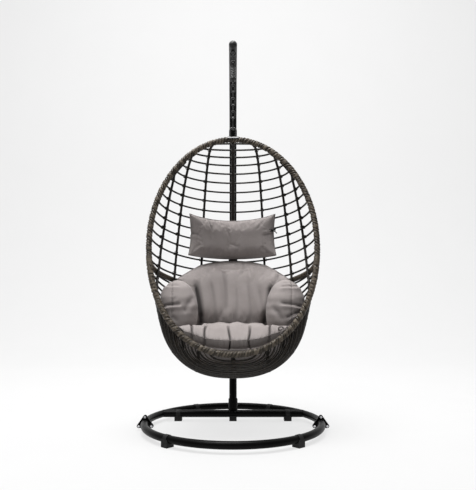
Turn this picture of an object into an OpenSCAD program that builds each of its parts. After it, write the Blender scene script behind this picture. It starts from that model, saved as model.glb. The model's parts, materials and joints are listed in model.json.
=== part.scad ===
// Hanging egg chair: a ring base with a curved post, a spring and chain hanger,
// and a woven egg basket that carries five cushions. Millimetres, +Z up.
// The origin is on the ground, at the centre of the footprint.

/* [Base] */
// Radius of the base ring's centre line
ring_r = 450; // [420:5:500]
// Diameter of the base ring's tube
ring_d = 38; // [34:1:42]
// Gap between the ground and the base tubes
ring_lift = 18; // [14:1:26]
// Wall of every steel tube
tube_wall = 2; // [1.6:0.2:3]
// Diameter of the cross tube
cross_d = 40; // [36:1:44]
// Distance from the ring's centre back to the cross tube
cross_back = 230; // [200:5:260]

/* [Flanges] */
// Thickness of one flange plate
flange_t = 5; // [4:0.5:8]
// Distance between the two lower flange bolts
flange_bolt_span = 66; // [62:1:74]
// Height of the top flange bolt above the tube's centre line
flange_bolt_rise = 31; // [29:1:36]
// Drop of the lower flange bolts below the tube's centre line
flange_bolt_drop = 16; // [12:1:18]
// Radius of a flange's rounded corners
flange_corner_r = 10; // [9:0.5:12]
// Radius of a flange bolt's shank
flange_bolt_r = 4; // [3:0.5:5]

/* [Feet] */
// Length of a foot along its tube
foot_l = 40; // [30:1:50]
// Width of a foot across its tube
foot_w = 44; // [40:1:54]
// Thickness of the band that ties a foot to its tube
foot_band_t = 2; // [1.5:0.5:3]
// Width of that band
foot_band_w = 24; // [16:1:28]
// Angle of a front foot from the side of the ring
front_foot_angle = 48; // [35:1:60]
// Angle of a rear foot from the side of the ring
rear_foot_angle = 62; // [55:1:70]
// Distance of a cross tube foot from the middle
cross_foot_x = 300; // [260:5:320]

/* [Post] */
// Diameter of the post
post_d = 42; // [38:1:48]
// Gap between the back of the basket and the post
post_gap = 205; // [170:5:260]
// Height of the joint between the lower and the upper post
post_joint_z = 1170; // [1100:10:1250]
// Radius of the bend at the top of the post
arm_bend_r = 580; // [480:10:600]
// Length of the arm in front of the hanging eye
arm_nose = 30; // [24:1:45]
// Thickness of the sleeve at the foot of the post
sleeve_t = 4; // [3:0.5:6]
// Length of that sleeve
sleeve_l = 85; // [70:5:120]
// Length of the connector inside the post joint
connector_l = 130; // [110:5:180]
// Distance of each joint bolt from the post joint
post_bolt_dz = 26; // [20:1:34]
// Radius of a joint bolt's shank
post_bolt_r = 3; // [2.5:0.5:4]

/* [Hanger] */
// Wire radius of the welded eye
eye_wire_r = 4; // [3.5:0.5:5]
// Centre line radius of the welded eye
eye_r = 12; // [11:0.5:15]
// Wire radius of the top link and the carabiner
snap_wire_r = 3.5; // [3:0.5:4]
// Centre line length of the top link
top_link_l = 40; // [36:1:50]
// Centre line length of the carabiner
carabiner_l = 62; // [56:1:72]
// Wire radius of a chain link
link_wire_r = 3; // [2.5:0.25:3.5]
// Centre line length of a chain link
link_l = 40; // [36:1:46]
// Centre line radius of a link's round ends
link_end_r = 8.5; // [8:0.5:10]
// Gap between two wires that hang in each other
wire_gap = 0.3; // [0.3:0.1:0.6]

/* [Spring] */
// Length of the spring between its two seats
spring_l = 68; // [60:1:84]
// Mean radius of the spring's curls
spring_r = 13.5; // [12:0.5:16]
// Wire radius of the spring
spring_wire_r = 2.3; // [1.8:0.1:2.6]
// Curls in the spring
spring_curls = 7; // [6:1:8]
// Thickness of a spring seat
seat_plate_t = 5; // [4:0.5:8]

/* [Basket] */
// Height of the basket's lowest point above the ground
basket_clearance = 279; // [240:5:340]
// Backward lean of the basket's mouth
lean = 14; // [10:1:17]
// Width of the mouth between the rim's centre lines
mouth_w = 825; // [760:5:880]
// Height of the mouth between the rim's centre lines
mouth_h = 1105; // [1040:5:1180]
// Depth of the shell behind the mouth
shell_depth = 500; // [440:5:540]
// Drop of the bowl below the bottom of the mouth
bowl_drop = 90; // [70:5:120]
// Distance of the bowl's lowest point behind the mouth
bowl_back = 170; // [140:5:200]
// Radius of the rim
rim_r = 13.5; // [12:0.5:16]
// Radius of a rung
rung_r = 4; // [3:0.25:5]
// Radius of a side rib
rib_r = 6; // [5:0.25:7]
// Radius of the middle rib
mid_rib_r = 8.5; // [7:0.5:10]
// Radius of the waist rail
rail_r = 12.5; // [10:0.5:14]
// Spacing of the rungs down the back
rung_pitch = 55; // [48:1:70]
// Spacing of the strands in the front of the bowl
strand_pitch = 22; // [18:1:30]

/* [Cushions] */
// Thickness of the seat cushion
seat_t = 195; // [160:5:210]
// Thickness of the back cushion
back_t = 120; // [90:5:140]
// Thickness of an arm cushion
arm_t = 180; // [120:5:200]
// Thickness of the head pillow
pillow_t = 100; // [80:5:120]
// Width of the pillow's strap
strap_w = 56; // [40:2:70]
// Depth of the channels in the cushions, as a share of their thickness
channel_share = 0.14; // [0.05:0.01:0.2]

/* [Hidden] */
$fn = 64;

steel_colour = [0.07, 0.07, 0.075];
bolt_colour = [0.75, 0.75, 0.76];
rubber_colour = [0.05, 0.05, 0.05];
rattan_colour = [0.36, 0.31, 0.26];
weave_colour = [0.12, 0.11, 0.10];
cloth_colour = [0.60, 0.57, 0.52];

// Clearance between welded, wrapped or pushed-on pieces
seat_gap = 0.2;
// Clearance between a soft piece and what carries it
soft_gap = 0.35;
// Clearance between the rim and the ends of its ribs and rungs
bar_gap = 0.3;
// Thickness of the cane that binds the rungs to the ribs
wrap_gap = 2.1;
// Rings along a rib
rib_steps = 32;

// ---- Base sizes ----
ring_z = ring_lift + ring_d / 2;
cross_z = ring_lift + cross_d / 2;
cross_half = sqrt(pow(ring_r, 2) - pow(cross_back, 2));
flange_hole_r = flange_bolt_r + 0.3;
flange_head_r = 1.65 * flange_bolt_r;
flange_head_h = 1.3 * flange_bolt_r;
flange_bolts = [[0, flange_bolt_rise],
                [flange_bolt_span / 2, -flange_bolt_drop],
                [-flange_bolt_span / 2, -flange_bolt_drop]];

// ---- Shell of the basket, in the mouth's own frame: X right, Y back, Z up its plane ----
mouth_b = mouth_h / 2;
// Squareness of the lower half of the mouth, 2 being a true ellipse
mouth_square = 2.15;
// Squareness of the bowl's strands
bowl_square = 2.4;
// Share of the lean by which a rung's ends sit further down the mouth than its middle
bowl_rise = mouth_b + bowl_drop;
// Where the strand through the bowl's lowest point ends on the mouth
bowl_end_angle = 122;
last_end_angle = 178;

function signed_pow(v, p) = sign(v) * pow(abs(v), p);
function unit(v) = v / norm(v);

// A point on the mouth, by its angle from the top, clockwise
function mouth(a) =
    let (p = cos(a) >= 0 ? 1 : 2 / mouth_square)
    [signed_pow(sin(a), p) * mouth_w / 2, 0, signed_pow(cos(a), p) * mouth_b - mouth_b];

// The middle of the back: t runs 0 to 1 down the back, 1 to 2 under the seat, 2 to 3 up the front
function spine(t) =
    t <= 1 ? [0, shell_depth * sin(90 * t), mouth_b * (cos(90 * t) - 1)] :
    t <= 2 ? [0, bowl_back + (shell_depth - bowl_back) * cos(90 * (t - 1)),
              -mouth_b - bowl_rise * sin(90 * (t - 1))] :
    [0, bowl_back * (1 - sin(90 * (t - 2))), -mouth_h - bowl_drop * cos(90 * (t - 2))];

// Where the rung through spine(t) ends on the mouth
function end_angle(t) =
    t <= 1 ? 90 * t + lean * (1 - t) :
    t <= 2 ? 90 + (bowl_end_angle - 90) * pow(t - 1, 0.6) :
    bowl_end_angle + (last_end_angle - bowl_end_angle) * (t - 2);

function squareness(t) = t <= 1 ? 2 : min(bowl_square, 2 + (bowl_square - 2) * (t - 1));

// A point of the shell: u turns from -90 at the left of the mouth to 90 at the right
function shell(t, u) =
    let (end = mouth(end_angle(t)), mid = spine(t), p = 2 / squareness(t),
         h = pow(max(0, cos(u)), p))
    [end[0] * signed_pow(sin(u), p), mid[1] * h, end[2] + (mid[2] - end[2]) * h];

function inward(t, u) =
    unit(cross(shell(t + 0.01, u) - shell(t - 0.01, u), shell(t, u + 0.5) - shell(t, u - 0.5)));
function inset(t, u, d) = shell(t, u) + d * inward(t, u);

// Arc length down the spine, from which the rungs take their places
spine_steps = 300;
spine_table = [for (i = 0, len = 0; i <= spine_steps;
                    len = len + norm(spine(3 * (i + 1) / spine_steps) - spine(3 * i / spine_steps)),
                    i = i + 1) [len, 3 * i / spine_steps]];
function spine_at(len) = lookup(len, spine_table);
function spine_length(t) = lookup(t, [for (row = spine_table) [row[1], row[0]]]);

// The waist rail crosses the spine here
rail_t = 1.11;
rail_len = spine_length(rail_t);
bowl_len = spine_length(2);
full_len = spine_length(2.85);

// Drop of a point below the hanging point, with the basket leaning
function drop(p) = p[1] * sin(lean) - p[2] * cos(lean);
basket_drop = max([for (i = [0:30]) drop(spine(1.5 + i / 20))]) + rung_r;
rim_top_z = basket_clearance + basket_drop;
shell_back_y = max([for (i = [0:40]) let (p = spine(0.4 + i / 40)) p[1] * cos(lean) + p[2] * sin(lean)]);

// ---- Hanger heights, from the basket up ----
loop_r = 16;
loop_wire_r = 4;
loop_rise = 60;
saddle_t = 2.5;
saddle_l = 56;
hook_r = 9;
hook_wire_r = 3;
hook_shank = 4;
swivel_gap = 0.3;
snap_end_r = 9.5;
loop_z = rim_top_z + loop_rise;
carabiner_bottom = loop_z - loop_wire_r - snap_wire_r - wire_gap;
link_drop = link_l - 2 * link_wire_r - wire_gap;
first_link_bottom = carabiner_bottom + carabiner_l - snap_wire_r - link_wire_r - wire_gap;
function link_bottom(i) = first_link_bottom + (5 - i) * link_drop;
lower_hook_z = link_bottom(1) + link_l - link_wire_r - hook_wire_r - wire_gap + hook_r;
spring_bottom = lower_hook_z + hook_r + hook_wire_r + hook_shank + seat_plate_t;
spring_top = spring_bottom + spring_l;
upper_hook_z = spring_top + seat_plate_t + hook_shank + hook_wire_r + hook_r;
top_link_bottom = upper_hook_z + hook_r - hook_wire_r - snap_wire_r - wire_gap;
eye_bottom = top_link_bottom + top_link_l - snap_wire_r - eye_wire_r - wire_gap;
eye_z = eye_bottom + eye_r;
arm_z = eye_z + eye_r + post_d / 2;

// ---- Post sizes ----
post_y = shell_back_y + post_gap + post_d / 2;
post_inner = post_d / 2 - tube_wall;
lower_rise = post_joint_z - cross_z;
lower_run = post_y - cross_back;
lower_bend_r = (pow(lower_run, 2) + pow(lower_rise, 2)) / (2 * lower_run);
lower_angle = asin(lower_rise / lower_bend_r);
// The post and its sleeve start this far up from the cross tube's centre line
post_start = 0.4 * cross_d / 2;
sleeve_start = 0.6 * cross_d / 2;
function lower_turn(l) = l / lower_bend_r * 180 / PI;
// The connector is thin enough to clear the bend of the lower post
connector_r = post_inner - seat_gap - pow(connector_l / 2, 2) / (2 * lower_bend_r);
arm_bend_z = arm_z - arm_bend_r;
arm_start_y = post_y - arm_bend_r;
post_head_r = 1.8 * post_bolt_r;
post_head_h = 1.2 * post_bolt_r;
post_head_gap = 0.5;

// The footprint is centred on the origin
depth_front = ring_r + ring_d / 2;
depth_back = post_y + post_d / 2 + post_head_h;
ring_y = (depth_front - depth_back) / 2;

module placed() translate([0, ring_y, 0]) children();
module in_side_plane() rotate([90, 0, 90]) children();
module in_basket() placed() translate([0, 0, rim_top_z]) rotate([-lean, 0, 0]) children();

// ---- Tubes, links and swept pieces ----
module tube_section(d, wall) difference() {
    circle(d = d);
    if (wall > 0) circle(d = d - 2 * wall);
}

module bent_tube(bend_r, d, wall, from, to) rotate([0, 0, from])
    rotate_extrude(angle = to - from, $fn = 180) translate([bend_r, 0]) tube_section(d, wall);

// A rounded triangular plate: three corner discs, a hair proud of the sides between them
module rounded_triangle(corners, r, h) {
    edges = [for (i = [0:2]) corners[(i + 1) % 3] - corners[i]];
    sides = [for (e = edges) r * [-e[1], e[0]] / norm(e)];
    linear_extrude(h)
        polygon([for (i = [0:2]) each [corners[i] + sides[i], corners[(i + 1) % 3] + sides[i]]]);
    for (c = corners) translate(c) cylinder(r = r + 0.02, h = h);
}

// A stadium link in the XZ plane, its lower round end's centre line on z = 0
module oval_link(l, end_r, wire_r) {
    for (side = [-1, 1]) translate([side * end_r, 0, end_r])
        cylinder(r = wire_r, h = l - 2 * end_r, $fn = 32);
    translate([0, 0, end_r]) rotate([90, 0, 0])
        bent_tube(end_r, 2 * wire_r, 0, 180, 360);
    translate([0, 0, l - end_r]) rotate([90, 0, 0])
        bent_tube(end_r, 2 * wire_r, 0, 0, 180);
}

module ring_link(r, wire_r) rotate([90, 0, 0])
    rotate_extrude($fn = 96) translate([r, 0]) circle(wire_r, $fn = 32);

module hex_head(r, h) cylinder(r = r, h = h, $fn = 6);

function tangent(path, i, closed) =
    let (n = len(path),
         a = closed ? (i + n - 1) % n : max(i - 1, 0),
         b = closed ? (i + 1) % n : min(i + 1, n - 1))
    unit(path[b] - path[a]);

// A round bar along a path; refs point away from its centre line, one for each point
module swept_bar(path, refs, r, sides, closed = false) {
    n = len(path);
    points = [for (i = [0:n - 1])
        let (t = tangent(path, i, closed),
             across = unit(refs[i] - (refs[i] * t) * t),
             over = cross(t, across))
        for (k = [0:sides - 1])
            path[i] + r * (cos(360 * k / sides) * across + sin(360 * k / sides) * over)];
    last = closed ? n - 1 : n - 2;
    skin = [for (i = [0:last], k = [0:sides - 1])
        let (j = (i + 1) % n, m = (k + 1) % sides,
             a = i * sides + k, b = i * sides + m, c = j * sides + m, d = j * sides + k)
        each [[a, c, b], [a, d, c]]];
    start_cap = [for (k = [1:sides - 2]) [0, k, k + 1]];
    end_cap = [for (k = [1:sides - 2]) (n - 1) * sides * [1, 1, 1] + [0, k + 1, k]];
    polyhedron(points, closed ? skin : concat(skin, start_cap, end_cap));
}

// ---- Base ----
module base_half(side) difference() {
    translate([0, 0, ring_z])
        bent_tube(ring_r, ring_d, tube_wall, side > 0 ? 0 : 180, side > 0 ? 180 : 360);
    translate([-2 * ring_r, side > 0 ? -1 : -flange_t, 0]) cube([4 * ring_r, flange_t + 1, 2 * ring_z]);
}

module base_front_tube() color(steel_colour) placed() base_half(-1);
module base_rear_tube() color(steel_colour) placed() base_half(1);

module base_cross_tube() color(steel_colour) placed() difference() {
    translate([-cross_half, cross_back, cross_z]) rotate([0, 90, 0])
        linear_extrude(2 * cross_half) tube_section(cross_d, tube_wall);
    translate([0, 0, ring_z]) bent_tube(ring_r, ring_d + 2 * seat_gap, 0, 5, 175);
}

// A flange plate across the ring tube's end, its bolts round the tube
module flange(side_x, side_y) color(steel_colour) placed()
    translate([side_x * ring_r, side_y > 0 ? flange_t : 0, ring_z]) rotate([90, 0, 0])
        difference() {
            rounded_triangle(flange_bolts, flange_corner_r, flange_t);
            for (b = flange_bolts) translate([b[0], b[1], -1])
                cylinder(r = flange_hole_r, h = flange_t + 2, $fn = 32);
        }

module flange_front_left() flange(-1, -1);
module flange_front_right() flange(1, -1);
module flange_rear_left() flange(-1, 1);
module flange_rear_right() flange(1, 1);

module each_flange_bolt(side_x) for (b = flange_bolts)
    placed() translate([side_x * ring_r + b[0], 0, ring_z + b[1]]) rotate([-90, 0, 0]) children();

module flange_bolt_set(side_x) color(bolt_colour) each_flange_bolt(side_x) {
    translate([0, 0, -flange_t - flange_head_h]) hex_head(flange_head_r, flange_head_h);
    translate([0, 0, -flange_t - 0.01]) cylinder(r = flange_bolt_r, h = 2 * flange_t + 9, $fn = 32);
}

module flange_nut_set(side_x) color(bolt_colour) each_flange_bolt(side_x)
    translate([0, 0, flange_t]) difference() {
        hex_head(flange_head_r, flange_head_h);
        translate([0, 0, -1]) cylinder(r = flange_bolt_r + 0.15, h = flange_head_h + 2, $fn = 32);
    }

module flange_bolts_left() flange_bolt_set(-1);
module flange_bolts_right() flange_bolt_set(1);
module flange_nuts_left() flange_nut_set(-1);
module flange_nuts_right() flange_nut_set(1);

// A foot under the ring: a block up to the tube's middle and a band over the top
module ring_foot(angle) color(rubber_colour) placed() difference() {
    union() {
        rotate([0, 0, angle]) translate([ring_r - foot_w / 2, -foot_l / 2, 0])
            cube([foot_w, foot_l, ring_z]);
        translate([0, 0, ring_z])
            bent_tube(ring_r, ring_d + 2 * (seat_gap + foot_band_t), 0,
                      angle - foot_band_w / ring_r * 90 / PI, angle + foot_band_w / ring_r * 90 / PI);
    }
    translate([0, 0, ring_z])
        bent_tube(ring_r, ring_d + 2 * seat_gap, 0, angle - 8, angle + 8);
}

module foot_front_left() ring_foot(180 + front_foot_angle);
module foot_front_right() ring_foot(-front_foot_angle);
module foot_rear_left() ring_foot(180 - rear_foot_angle);
module foot_rear_right() ring_foot(rear_foot_angle);

// A foot under the cross tube, of the same make
module cross_foot(x) color(rubber_colour) placed() translate([x, cross_back, 0]) difference() {
    union() {
        translate([-foot_l / 2, -foot_w / 2, 0]) cube([foot_l, foot_w, cross_z - cross_d / 4]);
        translate([-foot_band_w / 2, 0, cross_z]) rotate([0, 90, 0])
            cylinder(d = cross_d + 2 * (seat_gap + foot_band_t), h = foot_band_w);
    }
    translate([-foot_l, 0, cross_z]) rotate([0, 90, 0])
        cylinder(d = cross_d + 2 * seat_gap, h = 2 * foot_l);
}

module foot_cross_left() cross_foot(-cross_foot_x);
module foot_cross_right() cross_foot(cross_foot_x);

// The middle foot has no band, because the post's sleeve sits above it
module foot_centre() color(rubber_colour) placed() translate([0, cross_back, 0]) difference() {
    translate([-foot_l / 2, -foot_w / 2, 0]) cube([foot_l, foot_w, cross_z - cross_d / 4]);
    translate([-foot_l, 0, cross_z]) rotate([0, 90, 0])
        cylinder(d = cross_d + 2 * seat_gap, h = 2 * foot_l);
}

// ---- Post ----
module lower_bend(d, wall, from, to) translate([post_y - lower_bend_r, post_joint_z])
    bent_tube(lower_bend_r, d, wall, from, to);

module cross_tube_cut() translate([-post_d, cross_back, cross_z]) rotate([0, 90, 0])
    cylinder(d = cross_d + 2 * seat_gap, h = 2 * post_d);

module each_post_bolt() for (side = [-1, 1])
    translate([0, post_y, post_joint_z + side * post_bolt_dz]) rotate([90, 0, 0]) children();

module post_bolt_holes() each_post_bolt()
    cylinder(r = post_bolt_r + 0.2, h = 2 * post_d, center = true, $fn = 32);

// A flared sleeve welded over the cross tube, round the post's foot
module post_sleeve() color(steel_colour) placed() difference() {
    in_side_plane() lower_bend(post_d + 2 * sleeve_t + 4 * seat_gap, sleeve_t,
                               lower_turn(sleeve_start) - lower_angle, lower_turn(sleeve_l) - lower_angle);
    cross_tube_cut();
}

module lower_post() color(steel_colour) placed() difference() {
    in_side_plane() lower_bend(post_d, tube_wall, lower_turn(post_start) - lower_angle, 0);
    cross_tube_cut();
    post_bolt_holes();
}

// The upper post's run: straight up, round the bend and forward over the basket
module upper_run(d, extra) {
    in_side_plane() {
        translate([post_y, arm_bend_z]) rotate([90, 0, 0])
            cylinder(d = d, h = arm_bend_z - post_joint_z + extra);
        translate([arm_start_y, arm_bend_z]) bent_tube(arm_bend_r, d, 0, 0, 90);
    }
    translate([0, arm_start_y, arm_z]) rotate([90, 0, 0])
        cylinder(d = d, h = arm_start_y + arm_nose + extra);
}

module upper_post() color(steel_colour) placed() difference() {
    upper_run(post_d, 0);
    upper_run(2 * post_inner, 1);
    post_bolt_holes();
}

// A straight tube joins the posts inside their joint
module post_connector() color(steel_colour) placed() difference() {
    translate([0, post_y, post_joint_z - connector_l / 2]) cylinder(r = connector_r, h = connector_l);
    translate([0, post_y, post_joint_z - connector_l / 2 - 1])
        cylinder(r = connector_r - tube_wall, h = connector_l + 2);
    post_bolt_holes();
}

module post_bolts() color(bolt_colour) placed() each_post_bolt() {
    translate([0, 0, post_d / 2 + post_head_gap]) hex_head(post_head_r, post_head_h);
    translate([0, 0, -post_d / 2 - post_head_h])
        cylinder(r = post_bolt_r, h = post_d + post_head_h + 1, $fn = 32);
}

module post_nuts() color(bolt_colour) placed() each_post_bolt()
    translate([0, 0, -post_d / 2 - post_head_h]) difference() {
        hex_head(post_head_r, post_head_h);
        translate([0, 0, -1]) cylinder(r = post_bolt_r + 0.15, h = post_head_h + 2, $fn = 32);
    }

// A domed plug closes the arm
module arm_end_cap() color(steel_colour) placed() translate([0, -arm_nose, arm_z]) rotate([90, 0, 0])
    rotate_extrude($fn = 96) {
        intersection() {
            circle(post_d / 2, $fn = 96);
            square([post_d, post_d]);
        }
        translate([0, -12]) square([post_inner - seat_gap, 12.01]);
    }

module hanging_eye() color(steel_colour) placed() difference() {
    translate([0, 0, eye_z]) ring_link(eye_r, eye_wire_r);
    translate([0, post_d, arm_z]) rotate([90, 0, 0]) cylinder(d = post_d + 2 * seat_gap, h = 2 * post_d);
}

// ---- Hanger ----
module top_link() color(steel_colour) placed() translate([0, 0, top_link_bottom]) rotate([0, 0, 90])
    oval_link(top_link_l, snap_end_r, snap_wire_r);

module spring_plate(h) cylinder(r = spring_r + spring_wire_r + 1, h = h, $fn = 96);

module spring_upper_seat() color(steel_colour) placed() {
    translate([0, 0, spring_top]) spring_plate(seat_plate_t);
    translate([0, 0, spring_top + seat_plate_t - 0.01])
        cylinder(r = hook_wire_r, h = hook_shank + hook_wire_r, $fn = 32);
    translate([0, 0, upper_hook_z]) ring_link(hook_r, hook_wire_r);
}

module spring_lower_seat() color(steel_colour) placed() translate([0, 0, spring_bottom - seat_plate_t])
    difference() {
        spring_plate(seat_plate_t);
        translate([0, 0, -1]) cylinder(r = hook_wire_r + swivel_gap, h = seat_plate_t + 2, $fn = 32);
    }

// The hook hangs by its head and turns in the seat's bore
module swivel_hook() color(steel_colour) placed() {
    translate([0, 0, lower_hook_z]) rotate([0, 0, 90]) ring_link(hook_r, hook_wire_r);
    translate([0, 0, lower_hook_z + hook_r])
        cylinder(r = hook_wire_r, h = spring_bottom + swivel_gap - lower_hook_z - hook_r + 0.01, $fn = 32);
    translate([0, 0, spring_bottom + swivel_gap]) cylinder(r = 2 * hook_wire_r, h = hook_wire_r, $fn = 32);
}

// The spring: one wire whose ends stand square on the two seats
spring_end = 2 * spring_wire_r;
spring_rise = spring_l - 2 * spring_end;
spring_path = concat(
    [[spring_r, 0, 0]],
    [for (i = [0:8 * spring_curls]) let (a = 45 * i)
        [spring_r * cos(a), spring_r * sin(a), spring_end + spring_rise * i / (8 * spring_curls)]],
    [[spring_r, 0, spring_l]]);
spring_refs = [for (p = spring_path) [p[0], p[1], 0]];
spring_curl_gap = min([for (i = [1:8 * spring_curls - 7])
    norm(spring_path[i + 8] - spring_path[i])]) - 2 * spring_wire_r;
echo(spring_curl_gap = spring_curl_gap);

module spring() color(steel_colour) placed() translate([0, 0, spring_bottom])
    swept_bar(spring_path, spring_refs, spring_wire_r, 6);

module chain_link(i) color(steel_colour) placed() translate([0, 0, link_bottom(i)])
    rotate([0, 0, i % 2 == 1 ? 0 : 90]) oval_link(link_l, link_end_r, link_wire_r);

// A snap ring with a screw sleeve on one side
module carabiner() color(steel_colour) placed() translate([0, 0, carabiner_bottom]) rotate([0, 0, 90]) {
    oval_link(carabiner_l, snap_end_r, snap_wire_r);
    translate([-snap_end_r, 0, carabiner_l / 2 - 9]) cylinder(r = snap_wire_r + 1.5, h = 18, $fn = 6);
}

// ---- Basket ----
module basket_loop() color(steel_colour) placed() {
    translate([0, 0, loop_z - loop_r]) rotate([90, 0, 0])
        bent_tube(loop_r, 2 * loop_wire_r, 0, 0, 180);
    for (side = [-1, 1]) translate([side * loop_r, 0, rim_top_z + rim_r + saddle_t / 2])
        cylinder(r = loop_wire_r, h = loop_rise - loop_r - rim_r - saddle_t / 2, $fn = 32);
    translate([-saddle_l / 2, 0, rim_top_z]) rotate([0, 90, 0]) difference() {
        cylinder(r = rim_r + seat_gap + saddle_t, h = saddle_l);
        translate([0, 0, -1]) cylinder(r = rim_r + seat_gap, h = saddle_l + 2);
        translate([0, -2 * rim_r, -1]) cube([2 * rim_r, 4 * rim_r, saddle_l + 2]);
    }
}

module rim() color(rattan_colour) in_basket() {
    path = [for (i = [0:63]) mouth(360 * i / 64)];
    swept_bar(path, [for (p = path) [0, 1, 0]], rim_r, 10, closed = true);
}

// How far a bar's end must stay from the rim's centre line: p is on its path, from is the point before it
function rim_room(p, from, r) =
    let (near = [for (a = [0:0.5:180]) let (q = mouth(a)) [norm(p - q), q]],
         least = min([for (n = near) n[0]]),
         q = [for (n = near) if (n[0] == least) n[1]][0],
         lean_cos = unit(p - q) * unit(p - from))
    least - rim_r - bar_gap - r * sqrt(max(0, 1 - lean_cos * lean_cos));

// Ribs run down the inside of the rungs, from the top of the rim to its bottom
rib_top = [0, 100, 197, 249];
rib_waist = [0, 187, 326, 392];
rib_bottom = [0, 166, 240, 335];
rib_wrap = [for (share = [-0.25, 1, 0.6, 0.85]) share * wrap_gap];
// The ribs spread with the mouth's width
rib_share = mouth_w / 825;

function angle_of_width(x, low) =
    low ? 180 - asin(pow(x / (mouth_w / 2), mouth_square / 2)) : asin(x / (mouth_w / 2));
function upper_t(a) = (a - lean) / (90 - lean);
function lower_t(a) = a < bowl_end_angle ? 1 + pow((a - 90) / (bowl_end_angle - 90), 1 / 0.6) :
    2 + (a - bowl_end_angle) / (last_end_angle - bowl_end_angle);

// The width of rib j, v being how far down it lies
function rib_x(j, v) =
    v < 0.5 ? rib_share * (rib_top[j] + (rib_waist[j] - rib_top[j]) * pow(sin(180 * v), 0.65)) :
    rib_share * (rib_waist[j] + (rib_bottom[j] - rib_waist[j]) * (1 - sin(180 * v)));
function side_u(t, x) =
    let (half = mouth(end_angle(t))[0])
    asin(pow(min(1, x / half), squareness(t) / 2));

function rib_point(j, w, r) =
    let (start = j == 0 ? 0.01 : upper_t(angle_of_width(rib_share * rib_top[j], false)),
         stop = j == 0 ? 2.99 : lower_t(angle_of_width(rib_share * rib_bottom[j], true)),
         v = (1 - cos(180 * w)) / 2,
         t = start + (stop - start) * v)
    inset(t, min(88, side_u(t, rib_x(j, v))), rung_r + r + rib_wrap[j]);

// Steps along a rib from w until its end is clear of the rim
function rib_end(j, w, step, r) =
    rim_room(rib_point(j, w, r), rib_point(j, w + step, r), r) > 0 ? w : rib_end(j, w + step, step, r);

module rib(i) color(rattan_colour) in_basket() {
    j = abs(i - 4);
    r = j == 0 ? mid_rib_r : rib_r;
    from = rib_end(j, 0.02, 0.0005, r);
    to = rib_end(j, 0.98, -0.0005, r);
    path = [for (k = [0:rib_steps]) let (p = rib_point(j, from + (to - from) * k / rib_steps, r))
        [sign(i - 4) * p[0], p[1], p[2]]];
    swept_bar(path, [for (p = path) [1, 0, 0]], r, 6);
}

// A bar from rim to rim round the back, standing proud of the rungs by out
function shell_bar_point(t, u, out) = inset(t, u, -out * min(1, 3 * cos(u)));
function bar_end(t, u, r, out) =
    rim_room(shell_bar_point(t, u, out), shell_bar_point(t, u - 1, out), r) > 0 ? u :
    bar_end(t, u - 0.02, r, out);

module shell_bar(t, r, sides, steps, out = 0) {
    stop = bar_end(t, 89, r, out);
    path = [for (i = [0:steps]) shell_bar_point(t, stop * (2 * i / steps - 1), out)];
    axis = [0, spine(t)[2] - mouth(end_angle(t))[2], -spine(t)[1]];
    swept_bar(path, [for (p = path) axis], r, sides);
}

// Rungs between two places on the spine, evenly spaced
module rung_group(from, to, pitch) color(weave_colour) in_basket() {
    n = max(1, round((to - from) / pitch));
    for (i = [0:n - 1]) shell_bar(spine_at(from + (i + 0.5) * (to - from) / n), rung_r, 5, 16);
}

crown_end = rail_len * 0.5;
rail_room = 2.2 * (rail_r + rung_r) - rung_pitch / 2;
module rungs_crown() rung_group(rim_r, crown_end, rung_pitch);
module rungs_back() rung_group(crown_end, rail_len - rail_room, rung_pitch);
module rungs_bowl() rung_group(rail_len + rail_room, bowl_len, rung_pitch);
module strands_front() rung_group(bowl_len, full_len, strand_pitch);
module waist_rail() color(rattan_colour) in_basket()
    shell_bar(rail_t, rail_r, 10, 20, rail_r - rung_r);

// ---- Cushions ----
edge_band = 5;
function gaussian(v) = exp(-v * v);
function spread(i, n) = sin(90 * (2 * i / n - 1));

// A closed cushion: outer and inner faces over one grid, joined by a band round the edge.
module cushion_grid(outer, inner, na, nb) {
    m = (na + 1) * (nb + 1);
    function at(i, j) = i * (nb + 1) + j;
    round_edge = concat(
        [for (i = [0:na - 1]) [at(i, 0), at(i + 1, 0)]],
        [for (j = [0:nb - 1]) [at(na, j), at(na, j + 1)]],
        [for (i = [na:-1:1]) [at(i, nb), at(i - 1, nb)]],
        [for (j = [nb:-1:1]) [at(0, j), at(0, j - 1)]]);
    outer_faces = [for (i = [0:na - 1], j = [0:nb - 1])
        each [[at(i, j), at(i + 1, j), at(i + 1, j + 1)], [at(i, j), at(i + 1, j + 1), at(i, j + 1)]]];
    inner_faces = [for (face = outer_faces) [m + face[0], m + face[2], m + face[1]]];
    band_faces = [for (e = round_edge) each [[e[1], e[0], m + e[0]], [e[1], m + e[0], m + e[1]]]];
    polyhedron(concat(outer, inner), concat(outer_faces, inner_faces, band_faces));
}

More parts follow.
